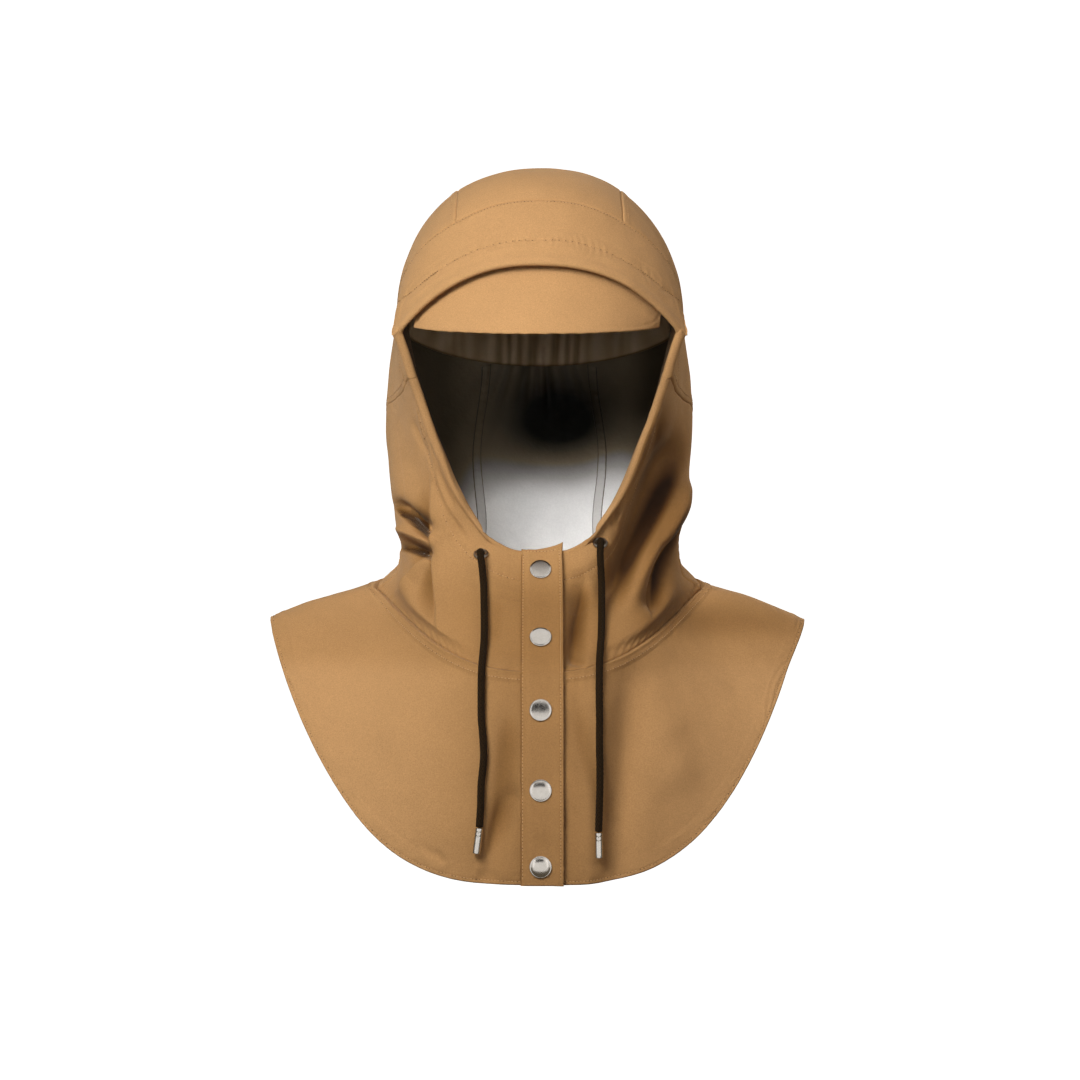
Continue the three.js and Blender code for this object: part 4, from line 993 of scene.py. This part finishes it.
def stitches(name, rows):
    """Stitches along rows of surface points: each is a small capsule laid along the row, half sunk
    into the cloth, with a small dark pad before it, painted shade in the needle hole. rows holds
    pairs of points and outward normals."""
    pitch, lift = size("stitch"), 0.12
    places, alongs, ups = [], [], []
    for points, normals in rows:
        reach = reach_along(points)
        at = np.arange(pitch, reach[-1] - pitch, pitch)
        here, ahead, up = (
            np.stack([np.interp(where, reach, values[:, k]) for k in range(3)], -1)
            for where, values in ((at, points), (at + 0.8, points), (at, normals))
        )
        places.append(here)
        alongs.append(unit(ahead - here))
        ups.append(unit(up))
    place, along, up = (np.concatenate(x) for x in (places, alongs, ups))
    side = unit(np.cross(up, along))
    up = np.cross(along, side)

    def laid(points, faces):
        """A small shape at every stitch: all its points and faces"""
        spots = place[:, None] + points[None, :, :1] * along[:, None]
        spots = spots + points[None, :, 1:2] * side[:, None] + points[None, :, 2:] * up[:, None]
        starts = np.arange(len(place)) * len(points)
        return spots.reshape(-1, 3), (faces[None] + starts[:, None, None]).reshape(-1, 4)

    # The capsule: five rings of six points, and two quads over each end
    radius, half = size("thread") / 2, pitch * 0.36
    spans = np.array([-1.0, -0.75, 0.0, 0.75, 1.0]) * half
    fat = np.array([0.25, 0.85, 1.0, 0.85, 0.25]) * radius
    dip = np.array([-0.45, -0.1, 0.12, -0.1, -0.45]) * radius * 2
    turn = np.arange(6) * (np.pi / 3)
    capsule = np.stack([
        np.repeat(spans, 6), (fat[:, None] * np.cos(turn)).ravel(),
        (fat[:, None] * np.sin(turn) + dip[:, None]).ravel() + lift,
    ], -1)
    ends = np.array([(0, 5, 4, 1), (1, 4, 3, 2), (24, 25, 28, 29), (25, 26, 27, 28)])
    points, faces = laid(capsule, np.concatenate([tube_faces(5, 6), ends])[:, ::-1])
    # The pad: eight points low and eight points high
    eighth, ring = np.arange(8) * (np.pi / 4), np.arange(8)
    disc = np.c_[0.42 * np.cos(eighth) - pitch / 2, 0.34 * np.sin(eighth)]
    raised = disc * (0.8, 1) - (0.2 * pitch / 2, 0)
    pad = np.vstack([np.c_[disc, np.full(8, -0.15)], np.c_[raised, np.full(8, 0.09)]])
    rim = np.stack([ring, np.roll(ring, -1), np.roll(ring, -1) + 8, ring + 8], -1)
    caps = np.array([
        (8, 9, 10, 11), (8, 11, 12, 15), (12, 13, 14, 15), (3, 2, 1, 0), (7, 4, 3, 0), (7, 6, 5, 4),
    ])
    holes, hole_faces = laid(pad, np.concatenate([rim, caps]))
    kinds = np.repeat([0, 1], [len(faces), len(hole_faces)])
    obj = piece(name, np.concatenate([points, holes]), np.concatenate([faces, hole_faces + len(points)]),
                ["sewing_thread", "painted_needle_hole_shade"], kinds)
    return mount(obj, "cloth")


# The front line down the collar and the cape

def front_line():
    """Lengths along the bare front line: at each t from the rim down to the neck seam, and in all"""
    t = np.linspace(1, 0, FRONT_STEPS + 1)
    collar = reach_along(bare_hood(0.0, t))
    cape = float(np.linalg.norm(bare_cape(0.0, 0.0) - bare_cape(0.0, 1.0)))
    return t, collar, collar[-1] + cape


def front_place(x, share):
    """A point of the folded cloth at x and at a share of the front line, and its outward normal"""
    x, share = np.broadcast_arrays(np.asarray(x, float), np.asarray(share, float))
    ts, collar, total = front_line()
    length = share * total
    above = 1 - length / (collar[1] - collar[0]) / FRONT_STEPS
    t = np.where(length < 0, above, np.interp(length, collar, ts))
    s = np.maximum(0, (length - collar[-1]) / (total - collar[-1]))
    hood_a = np.degrees(np.arcsin(x / hood_half(t)))
    cape_a = np.degrees(np.arcsin(x / (mix(size("neck_width"), size("cape_width"), s) / 2)))
    on_cape = (length > collar[-1])[..., None]
    hood_n = metric(bare_hood, hood_a, t)[2]
    cape_n = -metric(bare_cape, cape_a, s)[2]
    hood_p, cape_p = bare_hood(hood_a, t), bare_cape(cape_a, s)
    point = np.where(on_cape, cape_p, hood_p)
    turn = step((share - collar[-1] / total) / 0.05 + 0.5)[..., None]
    normal = unit(mix(hood_n, cape_n, turn))
    return point + normal * broad_folds(point)[..., None], normal


def strip_cloth(x, share, base, wall, shape):
    """A strip on the front line: its outer face lies base + wall off the cloth plus shape"""
    point, normal = front_place(x, share)
    return point + normal * (base + wall + shape)[..., None], normal, point + normal * base


def strip_round(u, down, width, length, wall):
    """How far a strip's faces drop near its four edges"""
    return rim_round(np.minimum.reduce([u * width, (1 - u) * width, down, length - down]), wall)


def placket_faces(u, v):
    """The placket: u across, v down. Its left edge is sewn down, its right edge is a free fold that
    stands a little off, and the cloth dips at each snap."""
    width, wall = size("placket_width"), size("placket_wall")
    x = PLACKET_SHIFT + (u - 0.5) * width
    _, _, length = front_line()
    down = v * length
    rise = 1.1 * step((u * width - 24) / 8.0)
    near = strip_round(u, down, width, length, wall - rise)
    spot = np.stack([x, 0 * down, down], -1)
    lift = 1.3 * step((u * width - 22) / 12.0) + 0.5 * ripple(spot * (0, 1, 1), 70, 47, 4) * u
    shape = lift - 2.4 * step(1 - u * width / 7.0)
    shape = shape - 0.3 * hump(u * width - PLACKET_LEFT_ROW, 0.8)
    shape = shape - 0.28 * hump((1 - u) * width - PLACKET_RIGHT_ROW, 0.7)
    for share in SNAPS:
        away = np.hypot(x - SNAP_SHIFT, down - share * length)
        shape = shape - 0.55 * hump(away, 11.5)
    shape = shape + 0.45 * ripple(spot, 46, 41, 5) + 0.22 * ripple(spot, 15, 43, 5)
    shape = shape + puckers(u * width, down, 5, 8, 0.15) + puckers((1 - u) * width, down, 5, 9, 0.18)
    outer, normal, inner = strip_cloth(x, v, LAYER_GAP, wall, shape)
    return outer - normal * near[..., None], normal, inner + normal * (near * 0.9 + rise + lift)[..., None]


def under_placket_faces(u, v):
    """The strip behind the slit: its top end stands above the rim, rising to the wearer's left"""
    width, wall = size("placket_width") - 1.0, UNDER_PLACKET_WALL
    x = PLACKET_SHIFT + (u - 0.5) * width
    _, _, length = front_line()
    share = mix(-(2.6 + 3.0 * u) / length, 1, v)
    down = v * length
    near = strip_round(u, down, width, length, wall)
    shape = -0.25 * hump((1 - u) * width - 2.2, 0.7) - 0.25 * hump(down - 2.5, 0.7)
    outer, normal, inner = strip_cloth(x, share, -size("rim_hem") - LAYER_GAP - wall, wall, shape)
    return outer - normal * near[..., None], normal, inner + normal * (near * 0.9)[..., None]


def peak_point(u, v):
    """The peak: from a root under the rim it runs out and down to a crescent edge. u 0 to 1 across,
    v 0 to 1 from the root to the free edge."""
    w = 2 * u - 1
    lift = -size("rim_hem") - LAYER_GAP

    def root(angle):
        _, _, normal = metric(bare_hood, angle, np.full_like(angle, 0.985))
        return bare_hood(angle, 0.985) + normal * lift

    start = root(180 - PEAK_HALF * w)
    middle, end = root(np.array(180.0)), root(np.array(180.0 - PEAK_HALF))
    full = 1 - w * w
    free = np.stack([
        start[..., 0] * np.where(start[..., 0] < 0, 1.03, 0.985),
        start[..., 1] - PEAK_REACH * full,
        mix(end[2] - PEAK_TIP, middle[2] - PEAK_DROP, full),
    ], -1)
    return mix(start, free, v[..., None])


def channel_low(a):
    """The channel's lower edge: it rises towards its two ends"""
    side = (180 - turn_of(a)) / CHANNEL_HALF
    return size("cloth") - CHANNEL_DEPTH + CHANNEL_RISE * side**2


def t_at_height(a, z):
    """The t at which each line of the folded hood reaches a height, by halving"""
    low, high = np.full(np.shape(a), 0.02), np.full(np.shape(a), 0.8)
    for _ in range(22):
        middle = (low + high) / 2
        under = bare_hood(a, middle)[..., 2] < z
        low, high = np.where(under, middle, low), np.where(under, high, middle)
    return low


def lathe(name, profile, origin, axis, sides, finish, slot, node):
    """A profile of radius and height turned round an axis, in place of a node. Points on the axis
    close its ends."""
    profile = np.asarray(profile, float)
    angle = np.arange(sides) * (2 * np.pi / sides)
    axis = unit(np.asarray(axis, float))
    across = unit(np.cross(axis, (1.0, 0.0, 0.0)))
    third = np.cross(axis, across)
    ring = across * np.cos(angle)[:, None] + third * np.sin(angle)[:, None]
    points = origin + axis * profile[:, None, 1:] + ring[None] * profile[:, None, :1]
    obj = piece(name, points.reshape(-1, 3), tube_faces(len(profile), sides), [finish])
    return mount(merge(obj), slot, node)


def arc(centre, radius, start, stop, count):
    """Points of a circular arc in a profile, angles in degrees"""
    angle = np.radians(np.linspace(start, stop, count))
    return np.c_[centre[0] + radius * np.cos(angle), centre[1] + radius * np.sin(angle)]


def merge(obj):
    """Merges doubled points and turns the faces outwards"""
    work = bmesh.new()
    work.from_mesh(obj.data)
    bmesh.ops.remove_doubles(work, verts=work.verts, dist=1e-6)
    bmesh.ops.recalc_face_normals(work, faces=work.faces)
    work.to_mesh(obj.data)
    work.free()
    return obj


class HOOD_OT_cords(bpy.types.Operator):
    """Build both drawcords with their metal tips"""

    bl_idname = "hood.cords"
    bl_label = "Drawcords"

    def execute(self, context):
        radius, rings, sides = size("cord") / 2, 340, 32
        for side, route in CORDS.items():
            path = smooth_line(route, rings)
            # The drawn cord starts inside the eyelet and ends where its tip takes over
            tangent = unit(np.gradient(path, axis=0))
            across = unit(np.cross(tangent, (1.0, 0.2, 0.0)))
            third = np.cross(tangent, across)
            reach = reach_along(path)
            turn = np.linspace(0, 2 * np.pi, sides, endpoint=False)
            twist = reach[:, None] * (2 * np.pi / 14.4)
            braid = np.maximum(np.sin(4 * (turn + twist)), np.sin(4 * (turn - twist)))
            loft = radius * (0.93 + 0.07 * braid)
            loft[[0, -1]] *= 0.02
            ring = across[:, None] * np.cos(turn)[:, None] + third[:, None] * np.sin(turn)[:, None]
            points = path[:, None] + ring * loft[..., None]
            uv = np.stack(np.broadcast_arrays(turn[None] * radius, reach[:, None]), -1)
            cord = piece(f"braided_cord_{side}", points.reshape(-1, 3), tube_faces(rings, sides),
                         ["braided_cord"], uv=uv.reshape(-1, 2))
            mount(merge(cord), "cord", f"drawcord_{side}")
            tip = self.tip(side, path)
            size("cord") * MM
        return {"FINISHED"}

    def tip(self, side, path):
        """A crimped tube over the cord's end, with a rolled lip at each end"""
        last, end = path[-1], np.array(TIP_ENDS[side])
        along = unit(end - last)
        radius, start, stop = size("tip") / 2, 0.3, float(np.linalg.norm(end - last))
        profile = [(0.0, start), (radius - 0.35, start)]
        profile += arc((radius - 0.35, start + 0.35), 0.35, -90, 0, 5).tolist()
        for height in (3.2, 6.4):
            bell = np.linspace(-1.2, 1.2, 9)
            profile += np.c_[radius - 0.22 * hump(bell, 0.55), start + height + bell].tolist()
        profile += [(radius, stop - 2.4), (radius, stop - 0.5)]
        profile += arc((radius - 0.5, stop - 0.5), 0.5, 0, 90, 5).tolist()
        profile += [(radius - 1.0, stop - 0.25), (radius - 1.3, stop - 0.9), (0.0, stop - 0.9)]
        return lathe(f"metal_tip_{side}", profile, last, along, 40, "plated_metal", "bright_metal",
                     f"cord_tip_{side}")


class HOOD_OT_shell(bpy.types.Operator):
    """Build the hood's collar halves, side panels, centre panel and brim band"""

    bl_idname = "hood.shell"
    bl_label = "Hood shell"

    def execute(self, context):
        collar_vs = chain(graded(128, 0.35, 1.0), graded(22, 1.0, 0.5), graded(26, 0.6, 0.08))
        for side, sign in SIDES.items():
            cloth_piece(f"collar_cloth_{side}", graded(172, 1.3, 0.6), collar_vs, collar_place, hood_cloth,
                        2, f"collar_{side}", sign)
            cloth_piece(f"side_cloth_{side}", graded(76, 0.35, 0.35), graded(170, 0.35, 0.35), side_place,
                        hood_cloth, 1, f"side_panel_{side}", sign)
        cloth_piece("centre_cloth", graded(64, 0.35, 0.35), graded(200, 0.35, 0.35), centre_place,
                    hood_cloth, 1, "centre_panel")
        brim_us = chain(graded(84, 0.4, 1.0), graded(84), graded(84, 1.0, 0.4))
        brim_vs = chain(graded(26, 0.4, 0.7), graded(26, 0.6, 0.08))
        cloth_piece("brim_cloth", brim_us, brim_vs, brim_place, hood_cloth, 1, "brim_band")
        return {"FINISHED"}


class HOOD_OT_cape(bpy.types.Operator):
    """Build the shoulder cape"""

    bl_idname = "hood.cape"
    bl_label = "Cape"

    def execute(self, context):
        front = graded(112, 0.8, 1.0)
        us = chain(front, graded(44), graded(30), graded(44), 1 - front[::-1])
        cape = cloth_piece("cape_cloth", us, graded(94, 0.3, 0.2), cape_place, cape_cloth, 0.93, "cape")
        return {"FINISHED"}


class HOOD_OT_plackets(bpy.types.Operator):
    """Build the front placket and the strip behind the slit"""

    bl_idname = "hood.plackets"
    bl_label = "Plackets"

    def execute(self, context):
        u, v = np.meshgrid(graded(40, 0.12, 0.12), graded(220, 0.06, 0.06), indexing="ij")
        for name, faces_of, node, slot in (
            ("placket_cloth", placket_faces, "placket", "cloth"),
            ("under_placket_cloth", under_placket_faces, "under_placket", "cloth_inner"),
        ):
            outer, _, inner = faces_of(u, v)
            # The plackets carry the cloth's painted shade
            wall_piece(name, outer, inner, "twill", slot, node, painted_cloth_shade(outer))
        return {"FINISHED"}


class HOOD_OT_peak(bpy.types.Operator):
    """Build the peak under the rim"""

    bl_idname = "hood.peak"
    bl_label = "Peak"

    def execute(self, context):
        u, v = np.meshgrid(graded(150, 0.15, 0.15), graded(44, 0.3, 0.12), indexing="ij")
        point = peak_point(u, v)
        small = 1e-3
        across = peak_point(u + small, v) - peak_point(u - small, v)
        along = peak_point(u, v + small) - peak_point(u, v - small)
        normal = unit(np.cross(along, across))
        normal = np.where(normal[..., 1:2] > 0, -normal, normal)
        full = 4 * u * (1 - u)
        length = 62 * full + 3
        sag = -3.0 * np.sin(np.pi * v) * full + 1.2 * hump(v - 0.9, 0.25) * full
        soft = 0.8 * ripple(point, 60, 51) * step(v * 3) + 0.25 * ripple(point, 20, 53, 5)
        free, beside = (1 - v) * length, u * PEAK_WIDTH
        seam = -0.25 * hump(free - 3.0, 0.8) + puckers(free, beside, 5, 10, 0.15)
        rounded = rim_round(np.minimum.reduce([free, beside, (1 - u) * PEAK_WIDTH]), PEAK_WALL)
        outer = point + normal * (sag + soft + seam - rounded)[..., None]
        inner = point + normal * (sag + soft - PEAK_WALL + rounded)[..., None]
        wall_piece("peak_cloth", outer, inner, "twill", "cloth", "peak")
        return {"FINISHED"}


class HOOD_OT_lining(bpy.types.Operator):
    """Build the gathered channel and the tapes over the inside seams"""

    bl_idname = "hood.lining"
    bl_label = "Lining trims"

    def execute(self, context):
        u, v = np.meshgrid(graded(260, 0.3, 0.3), graded(34, 0.2, 0.2), indexing="ij")
        angle = 180 + CHANNEL_HALF * (2 * u - 1)
        t = t_at_height(angle, channel_low(angle) + CHANNEL_WIDTH * v)
        _, normal, inner = hood_cloth(angle, t)
        place = 200 * u
        middle = hump(u - 0.5, 0.17)
        wander = 2.2 * np.sin(place / 6.3) + 0.8 * v
        gather = (0.1 + 2.4 * middle) * np.sin(place * (2 * np.pi / 9.5) + wander)
        gather = gather + (0.2 + 0.6 * middle) * np.sin(place * (2 * np.pi / 17) + 1.5 + 2.4 * v)
        gather = gather + 1.1 * (1 - middle) * ripple(inner, 27, 41)
        puff = np.sin(np.pi * np.clip(v, 0, 1)) ** 0.6
        outer = inner - normal * (1.9 + puff * (1.6 + gather * (0.4 + 0.6 * puff)))[..., None]
        back = inner - normal * 0.3
        # Painted shade on the channel: darker in the hollows of its gathers, and darker along its lower
        # edge
        tone = (0.55 + 0.45 * np.clip(0.5 + gather / 3, 0, 1)) * (1 - 0.75 * hump(v * CHANNEL_WIDTH, 1.6))
        wall_piece("channel_cloth", outer, back, "gathered_lining", "lining", "crown_channel", tone)
        u, v = np.meshgrid(graded(14, 0.2, 0.2), graded(190, 0.3, 0.3), indexing="ij")
        seam_top = float(curve(CENTRE_SEAM, 0.4))
        end = float(t_at_height(np.array(seam_top), channel_low(seam_top) - 2.9))
        t = mix(0.015, end, v)
        seam = curve(CENTRE_SEAM, t)
        angle = seam + (u - 0.5) * TAPE_WIDTH / metric(bare_hood, seam, t)[0]
        for side, sign in SIDES.items():
            _, normal, inner = hood_cloth(sign * angle, t)
            edge = np.minimum(u, 1 - u) * TAPE_WIDTH
            raised = 0.75 - 0.35 * hump(edge - 1.0, 0.5) - rim_round(edge, 0.9)
            raised = raised + 0.12 * np.sin(v * 170 + 3 * u)
            outer = inner - normal * raised[..., None]
            # The tape carries the lining's painted shade, and is darker along both edges
            tone = painted_lining_shade(inner) * (1.06 - 0.82 * hump(edge, 0.8))
            wall_piece(f"seam_tape_cloth_{side}", outer, inner - normal * 0.05, "seam_tape", "lining",
                       f"seam_tape_{side}", tone)
        return {"FINISHED"}


class HOOD_OT_fasteners(bpy.types.Operator):
    """Build the snap caps and the eyelets"""

    bl_idname = "hood.fasteners"
    bl_label = "Snaps and eyelets"

    def execute(self, context):
        radius = size("snap") / 2
        profile = [(0.0, 0.0), (radius - 0.5, 0.0)]
        profile += arc((radius - 0.55, 0.55), 0.55, -80, 80, 9).tolist()
        profile += [(radius - 0.75, 1.12), (radius - 1.0, 1.2)]
        across = np.linspace(radius - 1.3, 0, 18)
        for k, (share, rise) in enumerate(zip(SNAPS, SNAP_RISES), 1):
            dome = 1.35 + rise * (1 - (across / (radius - 1.3)) ** 2.2)
            point, normal = front_place(SNAP_SHIFT, share)
            seat = point + normal * (LAYER_GAP + size("placket_wall") + SNAP_SEAT - 0.3)
            lathe(f"snap_{k}", profile + np.c_[across, dome].tolist(), seat, normal, 56, "plated_metal",
                  "bright_metal", f"snap_cap_{k}")
        for side, (angle, t) in EYELETS.items():
            at = bare_hood(angle, t)
            normal = metric(bare_hood, np.array(angle), np.array(t))[2]
            at = at + normal * broad_folds(at)
            tilt = math.radians(EYELET_TILT + math.degrees(math.atan(EYELET_LEAN)))
            axis = np.array([normal[0], normal[1] * math.cos(tilt) + normal[2] * math.sin(tilt),
                             normal[2] * math.cos(tilt) - normal[1] * math.sin(tilt)])
            hole, flange = 3.5, 6.25
            middle, roll = (hole + flange) / 2, (flange - hole) / 2
            ring = arc((middle, 0.55), roll, -8, 188, 15) * (1, 0.9) + (0, 0.3)
            profile = ring.tolist() + [(hole - 0.05, -3.4), (hole + 0.6, -3.4), (hole + 0.7, -0.1),
                                       (flange - 0.1, 0.0), ring[0].tolist()]
            lathe(f"eyelet_ring_{side}", profile, at + axis * 0.7, axis, 48, "dark_plated_metal",
                  "dark_metal", f"eyelet_{side}")
        return {"FINISHED"}


class HOOD_OT_stitching(bpy.types.Operator):
    """Sew the visible seam lines"""

    bl_idname = "hood.stitching"
    bl_label = "Stitching"

    def execute(self, context):
        hood, cape = [], []
        for sign in SIDES.values():
            a = np.linspace(9, 180, 700)
            hood.append(hood_cloth(sign * a, curve(HEM_LINE, a))[:2])
            t = np.linspace(0.012, 0.985, 500)
            hood.append(self.shifted(sign, SIDE_SEAM, t, SIDE_ROW))
            t = np.linspace(0.012, 0.93, 500)
            hood.append(self.shifted(sign, CENTRE_SEAM, t, -CENTRE_ROW))
            a = np.linspace(BAND_START + 3, 180, 400)
            per_t = metric(bare_hood, a, curve(BAND_ROWS, a))[1]
            hood.append(hood_cloth(sign * a, curve(BAND_ROWS, a) + BAND_ROW / per_t)[:2])
            a = np.linspace(2, 180, 800)
            per_s = metric(bare_cape, a, np.zeros_like(a))[1]
            cape.append(cape_cloth(sign * a, CAPE_NECK_ROW / per_s)[:2])
            per_s = metric(bare_cape, a, np.ones_like(a))[1]
            cape.append(cape_cloth(sign * a, 1 - CAPE_HEM_ROW / per_s)[:2])
        stitches("hood_stitching", hood)
        stitches("cape_stitching", cape)
        width, length = 34, 310
        u, v = np.linspace(0.08, 0.92, 60), np.linspace(0.005, 0.995, 400)
        sides = PLACKET_LEFT_ROW / width, 1 - PLACKET_RIGHT_ROW / width
        rows = [placket_faces(np.full_like(v, at), v)[:2] for at in sides]
        rows.append(placket_faces(u, np.full_like(u, PLACKET_TOP_ROW / length))[:2])
        stitches("placket_stitching", rows)
        return {"FINISHED"}

    def shifted(self, sign, seam, t, distance):
        """A row of stitches beside a seam given by t"""
        a = curve(seam, t)
        per_a = metric(bare_hood, a, t)[0]
        return hood_cloth(sign * (a + distance / per_a), t)[:2]


class HOOD_OT_stage(bpy.types.Operator):
    """Set up the camera, the lights and the pale floor with its backdrop"""

    bl_idname = "hood.stage"
    bl_label = "Stage"

    def execute(self, context):
        scene = context.scene
        camera = bpy.data.objects.new("camera", bpy.data.cameras.new("camera"))
        scene.collection.objects.link(camera)
        camera.location = CAMERA_PLACE
        camera.rotation_euler = (math.radians(90), 0, 0)
        camera.data.sensor_fit = "HORIZONTAL"
        camera.data.sensor_width = SENSOR
        camera.data.lens = FOCAL_LENGTH / PICTURE * SENSOR
        camera.data.shift_x = (PICTURE / 2 - PICTURE_MIDDLE) / PICTURE
        camera.data.clip_end = 60
        scene.camera = camera
        for name, row in LIGHTS.items():
            self.light(name, *row)
        self.flag()
        world = bpy.data.worlds.new("room")
        world.use_nodes = True
        background = world.node_tree.nodes["Background"]
        background.inputs["Color"].default_value = ROOM_COLOUR
        background.inputs["Strength"].default_value = ROOM_STRENGTH
        scene.world = world
        scene.view_settings.view_transform = "Standard"
        self.backdrop()
        return {"FINISHED"}

    def light(self, name, place, aim, extent, power, shade, unseen):
        """A soft rectangular light aimed at a point, or a narrow spot"""
        data = bpy.data.lights.new(name, "AREA" if extent else "SPOT")
        data.energy, data.color = power, shade
        if extent:
            data.shape = "RECTANGLE"
            data.size, data.size_y = extent
        else:
            data.spot_size, data.spot_blend = math.radians(SNOOT_ANGLE), 1.0
            data.shadow_soft_size = SNOOT_RADIUS
        obj = bpy.data.objects.new(name, data)
        bpy.context.scene.collection.objects.link(obj)
        obj.location = place
        obj.rotation_euler = (Vector(aim) - Vector(place)).to_track_quat("-Z", "Y").to_euler()
        self.hide(obj, *unseen)

    def hide(self, obj, *rays):
        """Hides an object from some kinds of rays"""
        for ray in rays:
            setattr(obj, f"visible_{ray}", False)

    def flag(self):
        """A black card above the camera that only the metal sees"""
        x, z = np.meshgrid([-850.0, 520.0], [-5.0, 600.0], indexing="ij")
        grid = np.stack([x, np.full_like(x, -1600.0), z], -1)
        obj = piece("black_card", grid.reshape(-1, 3), np.array([(0, 1, 3, 2)]), ["black_paper"])
        self.hide(obj, "camera", "diffuse", "shadow", "transmission")

    def backdrop(self):
        """A round floor that sweeps up into a wall on all sides: a straight line, a quarter circle and
        a straight line, turned round the upright axis"""
        floor, wall, bend = -1050.0, 9000.0, 3000.0
        turn = np.radians(np.linspace(-90, 0, 19))
        radius = np.r_[1.0, wall - bend + bend * np.cos(turn), wall]
        z = np.r_[floor, floor + bend + bend * np.sin(turn), wall]
        angle = np.linspace(0, 2 * np.pi, 97)
        across = np.stack([radius * np.cos(angle)[:, None], radius * np.sin(angle)[:, None]], -1)
        grid = np.concatenate([across, np.broadcast_to(z[None, :, None], across[..., :1].shape)], -1)
        index = np.arange(grid.shape[0] * grid.shape[1]).reshape(grid.shape[:2])
        obj = piece("pale_sweep", grid.reshape(-1, 3), quads(index), ["pale_paper"])
        self.hide(obj, "diffuse", "glossy", "shadow")


class HOOD_PT_panel(bpy.types.Panel):
    """Lists the hood's sizes, colours and building steps"""

    bl_idname = "HOOD_PT_panel"
    bl_label = "Hood"
    bl_space_type = "VIEW_3D"
    bl_region_type = "UI"
    bl_category = "Hood"

    def draw(self, context):
        for group in (context.scene.hood_sizes, context.scene.hood_colours):
            for name in group.__annotations__:
                self.layout.prop(group, name)
        for step_class in STEPS:
            self.layout.operator(step_class.bl_idname)


STEPS = (
    HOOD_OT_stage, HOOD_OT_cords, HOOD_OT_shell, HOOD_OT_cape, HOOD_OT_plackets, HOOD_OT_peak,
    HOOD_OT_lining, HOOD_OT_fasteners, HOOD_OT_stitching,
)
CLASSES = (HoodSizes, HoodColours, *STEPS, HOOD_PT_panel)


def register():
    for item in CLASSES:
        bpy.utils.register_class(item)
    bpy.types.Scene.hood_sizes = PointerProperty(type=HoodSizes)
    bpy.types.Scene.hood_colours = PointerProperty(type=HoodColours)


def unregister():
    del bpy.types.Scene.hood_colours
    del bpy.types.Scene.hood_sizes
    for item in reversed(CLASSES):
        bpy.utils.unregister_class(item)


def main():
    register()
    bpy.ops.hood.stage()
    bpy.ops.hood.cords()
    bpy.ops.hood.shell()
    bpy.ops.hood.cape()
    bpy.ops.hood.plackets()
    bpy.ops.hood.peak()
    bpy.ops.hood.lining()
    bpy.ops.hood.fasteners()
    bpy.ops.hood.stitching()


if __name__ == "__main__":
    main()
